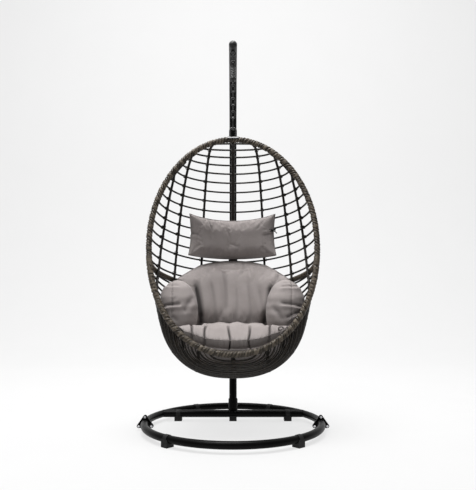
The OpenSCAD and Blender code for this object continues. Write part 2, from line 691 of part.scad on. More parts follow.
// A pad that lies against the inside of the shell.
// t and u limits place it, thick is its thickness, focus is the point it faces.
// arch lowers the corners of its upper edge.
module shell_pad(t_range, u_range, clear, thick, focus, channels, channel_w, draw, arch, na, nb) {
    function roundness(v) = pow(max(0, 1 - pow(abs(v), 4)), 0.4);
    function crease(b) = 1 - channel_share * min(1, sum([for (c = channels) gaussian((b - c) / channel_w)]));
    function mid_t(v) = (t_range[0] + t_range[1]) / 2 + v * (t_range[1] - t_range[0]) / 2;
    function mid_u(v) = (u_range[0] + u_range[1]) / 2 + v * (u_range[1] - u_range[0]) / 2;
    function base(a, b) =
        let (t = mid_t(a * (1 - draw * (1 - b * b))) + arch * (1 - a) / 2 * b * b,
             u = mid_u(b * (1 - draw * (1 - a * a))),
             p = inset(t, u, clear))
        [p, unit(focus - p)];
    function place(a, b, face) =
        let (g = base(a, b), e = roundness(a) * roundness(b),
             low = 0.3 * (1 - e), high = 0.3 + 0.7 * e * crease(b) + edge_band / thick * (1 - e))
        g[0] + thick * (face == 0 ? low : high) * g[1];
    grid = [for (i = [0:na], j = [0:nb]) [spread(i, na), spread(j, nb)]];
    cushion_grid([for (g = grid) place(g[0], g[1], 0)], [for (g = grid) place(g[0], g[1], 1)], na, nb);
}

function sum(v, i = 0) = i >= len(v) ? 0 : v[i] + sum(v, i + 1);

// How deep the ribs stand inside the shell, with room for a cushion
rib_layer = rung_r + wrap_gap + 2 * rib_r + 1;
mid_rib_layer = rung_r + rib_wrap[0] + 2 * mid_rib_r + 1;

module seat_cushion() color(cloth_colour) in_basket()
    shell_pad([1.58, 2.82], [-56, 56], mid_rib_layer - 1.3, seat_t, [0, 170, -560],
              [-0.62, -0.3, 0, 0.3, 0.62], 0.06, 0.03, 0, 14, 26);
module back_cushion() color(cloth_colour) in_basket()
    shell_pad([0.95, 1.46], [-58, 58], mid_rib_layer, back_t, [0, 100, -700],
              [-0.7, -0.42, -0.14, 0.14, 0.42, 0.7], 0.05, 0.03, 0.1, 10, 30);
module arm_cushion(side) color(cloth_colour) in_basket()
    shell_pad([1.27, 1.65], side > 0 ? [59, 86] : [-86, -59], rib_layer - 4.9, arm_t, [0, 60, -760],
              [0], 0.2, 0.03, 0, 12, 16);
module arm_cushion_left() arm_cushion(-1);
module arm_cushion_right() arm_cushion(1);
module head_pillow() color(cloth_colour) in_basket()
    shell_pad([0.632, 0.937], [-43, 43], mid_rib_layer, pillow_t, [0, 60, -480],
              [], 1, 0.08, 0, 12, 18);

// The strap's ends down the spine
strap_from = 0.935;
strap_to = 0.965;

// A webbing strap on the middle rib, from the pillow down to the back cushion
module pillow_strap() color(rubber_colour) in_basket() {
    top = inset(strap_from, 0, mid_rib_layer - 0.8);
    low = inset(strap_to, 0, mid_rib_layer - 0.8);
    fall = low - top;
    translate(top) rotate([atan2(fall[1], -fall[2]), 0, 0])
        translate([-strap_w / 2, -3, -norm(fall)]) cube([strap_w, 3, norm(fall)]);
}

base_front_tube();
base_rear_tube();
base_cross_tube();
flange_front_left();
flange_front_right();
flange_rear_left();
flange_rear_right();
flange_bolts_left();
flange_bolts_right();
flange_nuts_left();
flange_nuts_right();
foot_front_left();
foot_front_right();
foot_rear_left();
foot_rear_right();
foot_cross_left();
foot_cross_right();
foot_centre();
post_sleeve();
lower_post();
upper_post();
post_connector();
post_bolts();
post_nuts();
arm_end_cap();
hanging_eye();
top_link();
spring_upper_seat();
spring();
spring_lower_seat();
swivel_hook();
for (i = [1:5]) chain_link(i);
carabiner();
basket_loop();
rim();
for (i = [1:7]) rib(i);
rungs_crown();
rungs_back();
rungs_bowl();
strands_front();
waist_rail();
seat_cushion();
back_cushion();
arm_cushion_left();
arm_cushion_right();
head_pillow();
pillow_strap();
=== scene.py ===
import json
import math

import bmesh
import bpy
import numpy as np
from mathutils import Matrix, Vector
from mathutils.bvhtree import BVHTree


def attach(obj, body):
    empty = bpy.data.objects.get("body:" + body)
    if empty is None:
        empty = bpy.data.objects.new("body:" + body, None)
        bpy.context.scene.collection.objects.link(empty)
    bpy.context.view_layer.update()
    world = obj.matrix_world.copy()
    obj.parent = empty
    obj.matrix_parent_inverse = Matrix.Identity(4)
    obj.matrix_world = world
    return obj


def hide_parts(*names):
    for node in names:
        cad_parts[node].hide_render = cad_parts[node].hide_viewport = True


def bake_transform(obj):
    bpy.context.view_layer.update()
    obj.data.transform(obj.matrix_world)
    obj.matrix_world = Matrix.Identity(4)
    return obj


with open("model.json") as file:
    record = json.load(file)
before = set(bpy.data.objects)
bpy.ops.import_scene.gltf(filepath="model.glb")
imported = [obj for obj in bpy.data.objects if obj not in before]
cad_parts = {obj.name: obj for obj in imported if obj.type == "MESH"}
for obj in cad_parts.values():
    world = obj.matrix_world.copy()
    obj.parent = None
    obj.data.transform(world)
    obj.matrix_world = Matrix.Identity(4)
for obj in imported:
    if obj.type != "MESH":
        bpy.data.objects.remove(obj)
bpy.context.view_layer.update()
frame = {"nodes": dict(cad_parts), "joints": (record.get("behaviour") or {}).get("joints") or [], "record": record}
rng = np.random.default_rng(7)
BASKET = "basket"

# ---- The basket's shell, as in the part's source, in mm: X right, Y back, Z up the mouth's plane ----
LEAN = math.radians(14)
MOUTH_W, MOUTH_H, SHELL_DEPTH, BOWL_DROP, BOWL_BACK = 825, 1105, 500, 90, 170
MOUTH_B = MOUTH_H / 2
MOUTH_SQUARE, BOWL_SQUARE = 2.15, 2.4
BOWL_END, LAST_END = 122, 178
RIM_R, RUNG_R, RIB_R, MID_RIB_R, RAIL_R = 13.5, 4, 6, 8.5, 12.5
RUNG_PITCH, STRAND_PITCH, RAIL_T, WRAP_GAP = 55, 22, 1.11, 2.1
RIB_TOP, RIB_WAIST, RIB_BOTTOM = [0, 100, 197, 249], [0, 187, 326, 392], [0, 166, 240, 335]
RIB_WRAP = [share * WRAP_GAP for share in (-0.25, 1, 0.6, 0.85)]
LAST_STRAND = 2.85
BAR_STEPS, RIB_STEPS = 160, 220
LOOP_RISE = 60
EDGE_BAND = 5
rock = next(j for j in frame["joints"] if j["name"] == "rock")
ORIGIN = np.array([0, rock["pos_m"][1], rock["pos_m"][2] - LOOP_RISE / 1000])


def signed_pow(v, p):
    return np.sign(v) * np.abs(v) ** p


def unit(v):
    return v / np.linalg.norm(v, axis=-1, keepdims=True)


def sin_d(a):
    return np.sin(np.radians(a))


def cos_d(a):
    return np.cos(np.radians(a))


def to_frame(p):
    """A point of the mouth's frame, in mm, to the row frame, in metres."""
    p = np.asarray(p, float)
    y = p[..., 1] * math.cos(LEAN) + p[..., 2] * math.sin(LEAN)
    z = -p[..., 1] * math.sin(LEAN) + p[..., 2] * math.cos(LEAN)
    return np.stack([p[..., 0], y, z], -1) / 1000 + ORIGIN


def mouth(a):
    """The rim's centre line, an oval with a squarer lower half, a being degrees from its top."""
    a = np.asarray(a, float)
    p = np.where(cos_d(a) >= 0, 1, 2 / MOUTH_SQUARE)
    x = signed_pow(sin_d(a), p) * MOUTH_W / 2
    return np.stack([x, 0 * x, signed_pow(cos_d(a), p) * MOUTH_B - MOUTH_B], -1)


def spine(t):
    """The shell's middle line: down its back to t 1, under the bowl to 2 and up its front to 3."""
    t = np.asarray(t, float)
    y = np.where(t <= 1, SHELL_DEPTH * sin_d(90 * t),
                 np.where(t <= 2, BOWL_BACK + (SHELL_DEPTH - BOWL_BACK) * cos_d(90 * (t - 1)),
                          BOWL_BACK * (1 - sin_d(90 * (t - 2)))))
    z = np.where(t <= 1, MOUTH_B * (cos_d(90 * t) - 1),
                 np.where(t <= 2, -MOUTH_B - (MOUTH_B + BOWL_DROP) * sin_d(90 * (t - 1)),
                          -MOUTH_H - BOWL_DROP * cos_d(90 * (t - 2))))
    return np.stack([0 * y, y, z], -1)


def end_angle(t):
    """Where on the mouth, in degrees from its top, the shell's section at t ends."""
    lean = math.degrees(LEAN)
    return np.where(t <= 1, 90 * t + lean * (1 - t),
                    np.where(t <= 2, 90 + (BOWL_END - 90) * np.maximum(t - 1, 0) ** 0.6,
                             BOWL_END + (LAST_END - BOWL_END) * (t - 2)))


def shell(t, u):
    """The section at t, from one end on the mouth at u -90, over the spine at 0, to the other at 90."""
    t, u = np.broadcast_arrays(np.asarray(t, float), np.asarray(u, float))
    end, mid = mouth(end_angle(t)), spine(t)
    p = 2 / np.where(t <= 1, 2, np.minimum(BOWL_SQUARE, 2 + (BOWL_SQUARE - 2) * (t - 1)))
    h = np.maximum(0, cos_d(u)) ** p
    return np.stack([end[..., 0] * signed_pow(sin_d(u), p), mid[..., 1] * h,
                     end[..., 2] + (mid[..., 2] - end[..., 2]) * h], -1)


def inset(t, u, d):
    """Points d inside the shell, along its normal."""
    t, u = np.broadcast_arrays(np.asarray(t, float), np.asarray(u, float))
    inward = unit(np.cross(shell(t + 0.01, u) - shell(t - 0.01, u), shell(t, u + 0.5) - shell(t, u - 0.5)))
    return shell(t, u) + np.asarray(d, float)[..., None] * inward


spine_t = np.linspace(0, 3, 301)
spine_len = np.concatenate([[0], np.cumsum(np.linalg.norm(np.diff(spine(spine_t), axis=0), axis=1))])
rim_line = mouth(np.linspace(0, 360, 1441)[:-1])


def spine_at(length):
    return float(np.interp(length, spine_len, spine_t))


def spine_length(t):
    return float(np.interp(t, spine_t, spine_len))


def rung_places(start, stop, pitch):
    n = max(1, round((stop - start) / pitch))
    return [spine_at(start + (i + 0.5) * (stop - start) / n) for i in range(n)]


def clear_of_rim(path, reach):
    """The stretch of a path whose points lie further than reach from the rim's centre line."""
    far = np.array([np.linalg.norm(rim_line - p, axis=1).min() for p in path]) > reach
    inside = np.flatnonzero(far)
    return path[inside[0]:inside[-1] + 1]


def bar_path(t, out=0.0):
    """A bar round the shell at t, bulging out by a little more than the shell."""
    u = np.linspace(-89.9, 89.9, BAR_STEPS)
    return clear_of_rim(inset(np.full(BAR_STEPS, t), u, -out * np.minimum(1, 3 * cos_d(u))), RIM_R - 1.5)


def rib_path(i):
    """Rib i of 7, the middle one being 4, from the rim's top to its foot."""
    j, side = abs(i - 4), np.sign(i - 4)
    r = MID_RIB_R if j == 0 else RIB_R
    top, low = RIB_TOP[j], RIB_BOTTOM[j]
    half = MOUTH_W / 2
    start = 0.01 if j == 0 else (math.degrees(math.asin(top / half)) - 14) / 76
    if j == 0:
        stop = 2.99
    else:
        a = 180 - math.degrees(math.asin((low / half) ** (MOUTH_SQUARE / 2)))
        stop = 1 + ((a - 90) / (BOWL_END - 90)) ** (1 / 0.6) if a < BOWL_END else \
            2 + (a - BOWL_END) / (LAST_END - BOWL_END)
    v = (1 - np.cos(np.linspace(0.01, 0.99, RIB_STEPS) * math.pi)) / 2
    t = start + (stop - start) * v
    wide = np.sin(math.pi * v)
    x = np.where(v < 0.5, top + (RIB_WAIST[j] - top) * wide ** 0.65,
                 RIB_WAIST[j] + (low - RIB_WAIST[j]) * (1 - wide))
    end = mouth(end_angle(t))[:, 0]
    square = np.where(t <= 1, 2, np.minimum(BOWL_SQUARE, 2 + (BOWL_SQUARE - 2) * (t - 1)))
    u = np.degrees(np.arcsin(np.minimum(1, x / end) ** (square / 2)))
    path = inset(t, np.minimum(88, u), RUNG_R + r + RIB_WRAP[j])
    if side:
        path[:, 0] *= side
    return clear_of_rim(path, RIM_R - 1.5)


# ---- Meshes ----
WELD = 1e-6
CANE_PROFILE = (0.0, 1.0, 1.0)


def make_piece(name, verts, faces, mat, body=BASKET, shades=None, weld=0.0):
    """One mesh piece that rides on a body. shades are named numbers for each vertex. Points closer than weld
    are joined."""
    mesh = bpy.data.meshes.new(name)
    mesh.from_pydata([tuple(map(float, v)) for v in verts], [], [tuple(map(int, f)) for f in faces])
    for key, values in (shades or {}).items():
        layer = mesh.attributes.new(key, "FLOAT", "POINT")
        layer.data.foreach_set("value", np.asarray(values, np.float32))
    if weld:
        bm = bmesh.new()
        bm.from_mesh(mesh)
        bmesh.ops.remove_doubles(bm, verts=bm.verts, dist=weld)
        bmesh.ops.dissolve_degenerate(bm, edges=bm.edges, dist=weld / 4)
        holes = [e for e in bm.edges if e.is_boundary]
        if holes:
            bmesh.ops.holes_fill(bm, edges=holes, sides=0)
        bmesh.ops.recalc_face_normals(bm, faces=bm.faces)
        bm.to_mesh(mesh)
        bm.free()
    mesh.validate()
    mesh.polygons.foreach_set("use_smooth", [True] * len(mesh.polygons))
    mesh.materials.append(mat)
    obj = bpy.data.objects.new(name, mesh)
    bpy.context.scene.collection.objects.link(obj)
    if body:
        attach(obj, body)
    return obj


class Heap:
    """Gathers several shapes into one mesh."""

    def __init__(self):
        self.verts, self.faces, self.shades, self.count = [], [], {}, 0

    def add(self, verts, faces, shades=None):
        self.faces += [[i + self.count for i in f] for f in faces]
        self.verts.append(np.asarray(verts, float))
        for key in ("tone", "crown"):
            values = (shades or {}).get(key)
            self.shades.setdefault(key, []).append(np.full(len(verts), 0.5) if values is None else values)
        self.count += len(verts)

    def piece(self, name, mat, weld=0.0):
        return make_piece(name, np.concatenate(self.verts), self.faces, mat,
                          shades={k: np.concatenate(v) for k, v in self.shades.items()}, weld=weld)


def line_frame(path, closed=False):
    """Arc length, and two unit directions across a path, carried along it without twist."""
    tangent = unit(np.roll(path, -1, 0) - np.roll(path, 1, 0)) if closed else unit(np.gradient(path, axis=0))
    seed = np.cross(tangent[0], [0, 0, 1.0])
    if np.linalg.norm(seed) < 0.1:
        seed = np.cross(tangent[0], [0, 1.0, 0])
    across = np.empty_like(path)
    across[0] = unit(seed)
    for i in range(1, len(path)):
        v = across[i - 1] - np.dot(across[i - 1], tangent[i]) * tangent[i]
        across[i] = v / np.linalg.norm(v)
    step = np.linalg.norm(np.diff(np.vstack([path, path[:1]]) if closed else path, axis=0), axis=1)
    return np.concatenate([[0], np.cumsum(step)]), across, np.cross(tangent, across)


def sample(s, length, values):
    """The values at lengths s along a path."""
    return np.stack([np.interp(s, length, values[:, c]) for c in range(3)], -1)


def wound(path, r, pitch, sides, depth):
    """Flat cane wound round a bar: a tube whose faces follow the winding, with a groove between its turns."""
    length, across, over = line_frame(path)
    total = length[-1]
    turns = math.ceil(total / pitch) + 2
    steps, bands = turns * sides, len(CANE_PROFILE)
    m = np.arange(steps)[:, None]
    k = np.arange(bands)[None, :]
    angle = 2 * math.pi * (m % sides) / sides + 0 * k
    looseness = rng.normal(0, 0.35, turns + 3)
    swell = np.interp(m[:, 0] / sides, np.arange(turns + 3), looseness)[:, None]
    s = np.clip((m / sides + k / bands - 1) * pitch, 0, total)
    crown = np.array(CANE_PROFILE)[None, :] + 0 * m
    radius = r - depth * (1 - crown) + 0.12 * depth * swell * crown
    radius = np.where((s <= 0) | (s >= total), r - depth, radius)
    centre, side, up = (sample(s.ravel(), length, v) for v in (path, across, over))
    a = angle.ravel()[:, None]
    verts = centre + radius.ravel()[:, None] * (np.cos(a) * unit(side) + np.sin(a) * unit(up))
    tone = np.interp((m / sides).ravel(), np.arange(turns + 3), rng.random(turns + 3))[:, None] + 0 * k
    faces = []
    for i in range(steps - sides - 1):
        for j in range(bands):
            here, nxt = i * bands + j, (i + 1) * bands + j
            if j + 1 < bands:
                faces.append((here, nxt, nxt + 1, here + 1))
            else:
                faces.append((here, nxt, (i + 1 + sides) * bands, (i + sides) * bands))
    faces = np.array(faces)
    corner = verts[faces]
    area = np.linalg.norm(np.cross(corner[:, 2] - corner[:, 0], corner[:, 3] - corner[:, 1]), axis=1)
    faces = faces[area > 1e-11]
    used = np.unique(faces)
    new = np.full(len(verts), -1)
    new[used] = np.arange(len(used))
    # crown also sets the painted shade that darkens the groove in the cane material
    return verts[used], new[faces].tolist(), {"tone": tone.ravel()[used], "crown": crown.ravel()[used]}


def twisted(path, r, spacing, starts, sides, depth, step=0.0028):
    """A closed rope of cane lays that cross it aslant, spacing apart. The path lies in a plane."""
    length, across, over = line_frame(path, True)
    total = length[-1]
    path, across, over = (np.vstack([v, v[:1]]) for v in (path, across, over))
    lays = round(total / spacing)
    n = round(total / step)
    s, k = np.meshgrid(np.arange(n) / n, np.arange(sides) / sides, indexing="ij")
    phase = s * lays + k * starts
    for share, waves, start in ((0.16, 23, 0), (0.1, 57, 1)):
        phase = phase + share * np.sin(2 * math.pi * s * waves + start)
    crown = np.abs(np.sin(math.pi * phase))
    tones = rng.random(lays + starts + 4)
    tone = tones[np.floor(phase).astype(int) % lays]
    swell = 1 + 0.25 * (tones[(np.floor(phase).astype(int) + 1) % lays] - 0.5)
    centre, side, up = (sample(s[:, 0] * total, length, v)[:, None, :] for v in (path, across, over))
    radius = (r - depth * (1 - crown * swell))[..., None]
    a = (2 * math.pi * k)[..., None]
    verts = centre + radius * (np.cos(a) * unit(side) + np.sin(a) * unit(up))
    faces = [[i * sides + j, i * sides + (j + 1) % sides, (i + 1) % n * sides + (j + 1) % sides,
              (i + 1) % n * sides + j] for i in range(n) for j in range(sides)]
    # crown also sets the painted shade that darkens the grooves between lays in the cane material
    return verts.reshape(-1, 3), faces, {"tone": tone.ravel(), "crown": crown.ravel()}


def tube(path, r, sides=8, closed=False, flat=1.0, side=None):
    """A plain tube, r being its radius, or a flat strip where flat is below 1."""
    path = np.asarray(path, float)
    length, across, over = line_frame(path, closed)
    if side is not None:
        tangent = np.cross(across, over)
        across = unit(side - (side * tangent).sum(1, keepdims=True) * tangent)
        over = np.cross(tangent, across)
    radius = np.broadcast_to(np.asarray(r, float), (len(path),))
    a = 2 * math.pi * (np.arange(sides) + 0.5) / sides
    ring = np.cos(a)[None, :, None] * across[:, None] + flat * np.sin(a)[None, :, None] * over[:, None]
    verts = (path[:, None] + radius[:, None, None] * ring).reshape(-1, 3)
    n, faces = len(path), []
    for i in range(n if closed else n - 1):
        j = (i + 1) % n
        for k in range(sides):
            m = (k + 1) % sides
            faces.append([i * sides + k, i * sides + m, j * sides + m, j * sides + k])
    if not closed:
        faces += [list(range(sides))[::-1], [(n - 1) * sides + k for k in range(sides)]]
    return verts, faces


def spline(points, count):
    """A smooth line through a few points."""
    points = np.asarray(points, float)
    knots = np.concatenate([[0], np.cumsum(np.linalg.norm(np.diff(points, axis=0), axis=1))])
    tangents = np.gradient(points, knots, axis=0)
    s = np.linspace(0, knots[-1], count)
    i = np.clip(np.searchsorted(knots, s, "right") - 1, 0, len(points) - 2)
    h = (knots[i + 1] - knots[i])[:, None]
    w = ((s - knots[i])[:, None]) / h
    return ((2 * w ** 3 - 3 * w ** 2 + 1) * points[i] + (w ** 3 - 2 * w ** 2 + w) * h * tangents[i]
            + (-2 * w ** 3 + 3 * w ** 2) * points[i + 1] + (w ** 3 - w ** 2) * h * tangents[i + 1])


# ---- Materials ----
class Shade:
    """A material with short names for its nodes."""

    def __init__(self, name, rough, metal=0.0, **fixed):
        self.mat = bpy.data.materials.new(name)
        self.mat.use_nodes = True
        self.tree = self.mat.node_tree
        self.bsdf = self.tree.nodes["Principled BSDF"]
        self.bsdf.inputs["Roughness"].default_value = rough
        self.bsdf.inputs["Metallic"].default_value = metal
        for key, value in fixed.items():
            self.bsdf.inputs[key.replace("_", " ")].default_value = value
        self.coord = self.tree.nodes.new("ShaderNodeTexCoord").outputs["Object"]

    def node(self, kind, inputs=None, **props):
        n = self.tree.nodes.new(kind)
        for key, value in props.items():
            setattr(n, key, value)
        for key, value in (inputs or {}).items():
            if hasattr(value, "is_output"):
                self.tree.links.new(value, n.inputs[key])
            else:
                n.inputs[key].default_value = value
        return n

    def noise(self, scale, detail=3.0, rough=0.5, vector=None):
        return self.node("ShaderNodeTexNoise", {"Vector": vector or self.coord, "Scale": scale,
                                                "Detail": detail, "Roughness": rough}).outputs["Fac"]

    def attribute(self, name):
        return self.node("ShaderNodeAttribute", attribute_name=name).outputs["Fac"]

    def math(self, op, a, b=0.0):
        return self.node("ShaderNodeMath", {0: a, 1: b}, operation=op).outputs[0]

    def ramp(self, value, stops):
        n = self.node("ShaderNodeValToRGB", {"Fac": value})
        ramp = n.color_ramp
        for i, (place, colour) in enumerate(stops):
            e = ramp.elements[i] if i < 2 else ramp.elements.new(place)
            e.position = place
            e.color = (*colour, 1) if len(colour) == 3 else colour
        return n.outputs["Color"]

    def to(self, socket, value):
        self.tree.links.new(value, self.bsdf.inputs[socket])

    def bump(self, height, strength, distance, normal=None):
        inputs = {"Height": height, "Strength": strength, "Distance": distance}
        if normal:
            inputs["Normal"] = normal
        return self.node("ShaderNodeBump", inputs).outputs["Normal"]


def grey(v):
    return (v, v, v)


def coated_steel(name, low, high, rough, shine):
    s = Shade(name, rough, 0.0, IOR=1.5, Specular_IOR_Level=shine)
    s.to("Base Color", s.ramp(s.noise(9, 3), [(0.3, low), (0.7, high)]))
    s.to("Roughness", s.ramp(s.noise(14, 3), [(0.3, grey(rough - 0.02)), (0.75, grey(rough + 0.04))]))
    s.to("Normal", s.bump(s.noise(700, 2, 0.6), 0.12, 0.0003))
    return s.mat


def bare_steel(name, colour, rough):
    s = Shade(name, rough, 1.0)
    brushed = s.node("ShaderNodeMapping", {"Vector": s.coord, "Scale": (900, 60, 900)}).outputs[0]
    lines = s.noise(1.0, 3, 0.5, brushed)
    s.to("Base Color", s.ramp(s.noise(60, 3), [(0.3, tuple(0.7 * c for c in colour)), (0.7, colour)]))
    s.to("Roughness", s.ramp(lines, [(0.3, grey(rough)), (0.7, grey(rough + 0.18))]))
    s.to("Normal", s.bump(lines, 0.25, 0.0003))
    return s.mat


def moulded(name, colour, rough):
    s = Shade(name, rough, 0.0, Specular_IOR_Level=0.25)
    grain = s.node("ShaderNodeTexVoronoi", {"Vector": s.coord, "Scale": 1400.0}).outputs["Distance"]
    s.to("Base Color", s.ramp(s.noise(25, 4), [(0.3, colour), (0.75, tuple(1.7 * c + 0.004 for c in colour))]))
    s.to("Roughness", s.ramp(s.noise(80, 3), [(0.3, grey(rough - 0.08)), (0.7, grey(rough + 0.08))]))
    s.to("Normal", s.bump(grain, 0.4, 0.0004))
    return s.mat


def cane(name, dark, mid, light, rough):
    """Wound plastic cane: each turn has its own tone, with fine lines along it and painted shade that darkens the
    groove beside it.
    """
    s = Shade(name, rough, 0.0, IOR=1.48, Specular_IOR_Level=0.22)
    streak = s.noise(260, 4, 0.65)
    tone = s.math("ADD", s.math("MULTIPLY", s.attribute("tone"), 0.5), s.math("MULTIPLY", streak, 0.58))
    colour = s.ramp(tone, [(0.2, dark), (0.85, light), (0.52, mid)])
    # painted shade: the colour falls towards black where crown drops to 0 in the groove between turns
    groove = s.ramp(s.attribute("crown"), [(0.0, grey(0.03)), (0.85, grey(1.0))])
    s.to("Base Color", multiply(s, colour, groove))
    s.to("Roughness", s.ramp(s.noise(120, 3), [(0.3, grey(rough - 0.08)), (0.7, grey(rough + 0.1))]))
    s.to("Normal", s.bump(s.noise(1500, 2, 0.7), 0.3, 0.0004))
    return s.mat


def multiply(s, a, b):
    n = s.tree.nodes.new("ShaderNodeMix")
    n.data_type, n.blend_type = "RGBA", "MULTIPLY"
    n.inputs[0].default_value = 1.0
    s.tree.links.new(a, n.inputs[6])
    s.tree.links.new(b, n.inputs[7])
    return n.outputs[2]


def cloth(name, dark, light, rough=0.9, sheen=0.06, weave=900.0):
    """Woven polyester: two crossed threads, slubs and soft patches, painted darker in creases as shade."""
    s = Shade(name, rough, 0.0, Sheen_Weight=sheen, Sheen_Roughness=0.5)
    s.bsdf.inputs["Specular IOR Level"].default_value = 0.12
    threads = []
    for turn in ((0, 0, 0.4), (0.9, 0.5, 1.1)):
        place = s.node("ShaderNodeMapping", {"Vector": s.coord, "Rotation": turn}).outputs[0]
        threads.append(s.node("ShaderNodeTexWave", {"Vector": place, "Scale": weave / 6.28,
                                                    "Distortion": 0.6}).outputs["Fac"])
    weave_height = s.math("MULTIPLY", s.math("ADD", *threads), 0.5)
    patches = s.math("ADD", s.math("MULTIPLY", s.noise(7, 5, 0.6), 0.7), s.math("MULTIPLY", weave_height, 0.3))
    # painted shade: the colour darkens where the cushion lies deep in folds and creases
    painted_shade = s.ramp(s.attribute("crease"), [(0.0, grey(1.0)), (1.0, grey(0.16))])
    s.to("Base Color", multiply(s, s.ramp(patches, [(0.3, dark), (0.72, light)]), painted_shade))
    slub = s.bump(s.noise(140, 5, 0.6), 0.25, 0.0012)
    s.to("Normal", s.bump(weave_height, 0.35, 0.0005, slub))
    return s.mat


stand_mat = coated_steel("powder_coat", grey(0.0015), grey(0.0028), rough=0.34, shine=0.07)
hanger_mat = coated_steel("coated_hanger", grey(0.006), grey(0.012), rough=0.25, shine=0.6)
bolt_mat = bare_steel("zinc_bolt", (0.7, 0.7, 0.72), 0.22)
cap_mat = moulded("black_cap", grey(0.012), 0.42)
foot_mat = moulded("black_foot", grey(0.004), 0.6)
rim_mat = cane("rim_cane", (0.024, 0.019, 0.014), (0.058, 0.047, 0.035), (0.128, 0.106, 0.081), 0.4)
rung_mat = cane("rung_cane", (0.005, 0.004, 0.0032), (0.013, 0.0105, 0.008), (0.034, 0.027, 0.02), 0.4)
strand_mat = cane("strand_cane", (0.004, 0.003, 0.002), (0.013, 0.01, 0.007), (0.038, 0.03, 0.021), 0.36)
rail_mat = cane("rail_cane", (0.05, 0.04, 0.03), (0.11, 0.091, 0.07), (0.19, 0.16, 0.124), 0.42)
cushion_mat = cloth("taupe_polyester", (0.232, 0.208, 0.201), (0.318, 0.288, 0.279))
piping_mat = cloth("taupe_piping", (0.17, 0.152, 0.147), (0.24, 0.217, 0.21))
thread_mat = cloth("stitch_thread", (0.09, 0.08, 0.073), (0.14, 0.125, 0.115), sheen=0.0)
webbing_mat = cloth("black_webbing", grey(0.008), grey(0.018), rough=0.75, sheen=0.1, weave=1500.0)

looks = {"stand_steel": stand_mat, "hanger_steel": hanger_mat, "bolt_steel": bolt_mat,
         "cap_plastic": cap_mat, "foot_rubber": foot_mat, "rim_rattan": rim_mat, "rung_rattan": rung_mat,
         "cushion_fabric": cushion_mat, "webbing": webbing_mat}
for part in frame["record"]["subparts"]:
    data = frame["nodes"][part["node"]].data
    data.materials.clear()
    data.materials.append(looks[part["material_slot"]])


# ---- Rim, rail, ribs and rungs, wound with cane ----
def swap(obj, slot, *nodes):
    """Hides the CAD nodes that a piece stands for. The piece itself and its finish, slot, are not used."""
    if nodes:
        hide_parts(*nodes)


rail_len = spine_length(RAIL_T)
bowl_len, full_len = spine_length(2), spine_length(LAST_STRAND)
rail_room = 2.2 * (RAIL_R + RUNG_R) - RUNG_PITCH / 2
rung_sets = {
    "rungs_crown": rung_places(RIM_R, rail_len / 2, RUNG_PITCH),
    "rungs_back": rung_places(rail_len / 2, rail_len - rail_room, RUNG_PITCH),
    "rungs_bowl": rung_places(rail_len + rail_room, bowl_len, RUNG_PITCH),
    "strands_front": rung_places(bowl_len, full_len, STRAND_PITCH)}
rung_paths = {node: [bar_path(t) for t in places] for node, places in rung_sets.items()}
rib_paths = {i: rib_path(i) for i in range(1, 8)}
rail_path = bar_path(RAIL_T, RAIL_R - RUNG_R)
DENSE_FROM, DENSE_PITCH, DENSE_R = spine_length(1.42), 11, RUNG_R / 1000 - 0.0012

rim_ring = to_frame(mouth(np.linspace(0, 360, 721)[:-1]))
rope_r = RIM_R / 1000 + 0.002
verts, faces, shades = twisted(rim_ring, rope_r, spacing=0.0145, starts=3, sides=36, depth=0.0055)
swap(make_piece("rim_winding", verts, faces, rim_mat, shades=shades), "rim_rattan", "rim")

heap = Heap()
heap.add(*wound(to_frame(rail_path), RAIL_R / 1000, pitch=0.0075, sides=16, depth=0.0012))
swap(heap.piece("rail_winding", rail_mat, weld=WELD), "rim_rattan", "waist_rail")

for i, path in rib_paths.items():
    heap = Heap()
    r = (MID_RIB_R if i == 4 else RIB_R) / 1000
    heap.add(*wound(to_frame(path), r + 0.0007, pitch=0.0068, sides=12, depth=0.0009))
    swap(heap.piece(f"rib_{i}_winding", rung_mat, weld=WELD), "rim_rattan", f"rib_{i}")

for node, paths in rung_paths.items():
    heap = Heap()
    for path in paths:
        heap.add(*wound(to_frame(path), RUNG_R / 1000 + 0.001, pitch=0.0066, sides=8, depth=0.0007))
    look = strand_mat if node == "strands_front" else rung_mat
    swap(heap.piece(f"{node}_winding", look, weld=WELD), "rung_rattan", node)


# ---- Bindings: crossed loops at each crossing, and collars where the rungs meet the rim ----
BAND_R, BAND_SHIFT, BAND_THIN = 0.0017, 0.0016, 0.5
RAIL_COLLAR, RUNG_COLLAR = 11, 6.5


def crossing(a, b, most):
    """The nearest points of two paths and their directions, where they pass within most."""
    gap = np.linalg.norm(a[:, None] - b[None], axis=2)
    i, j = np.unravel_index(gap.argmin(), gap.shape)
    if gap[i, j] > most or i in (0, len(a) - 1) or j in (0, len(b) - 1):
        return None
    return a[i], b[j], unit(a[i + 1] - a[i - 1]), unit(b[j + 1] - b[j - 1])


def binding(heap, rib, rung, along, cross_dir, rib_r, rung_r):
    """Two crossed pairs of flat bands round a rib and a rung, which pass at the points rib and rung."""
    normal = unit(rib - rung)
    reach = np.linalg.norm(rib - rung) / 2 + (rib_r + rung_r) / 2 + 0.0009
    centre = (rib + rung) / 2 + normal * (rib_r - rung_r) / 2
    turn = np.linspace(0, 2 * math.pi, 15)[:-1]
    for sign in (1, -1):
        for shift in (-BAND_SHIFT, BAND_SHIFT):
            diagonal = unit(along + sign * cross_dir)
            away = np.cross(diagonal, normal)
            loop = centre + away * shift + normal * (reach * signed_pow(np.cos(turn), 0.8))[:, None] \
                + diagonal * ((max(rib_r, rung_r) * 1.3 + 0.001) * signed_pow(np.sin(turn), 0.8))[:, None]
            v, f = tube(loop, BAND_R, 6, True, BAND_THIN, np.tile(away, (len(loop), 1)))
            tone = np.full(len(v), 0.3 + 0.5 * rng.random())
            heap.add(v, f, {"tone": tone, "crown": np.ones(len(v))})


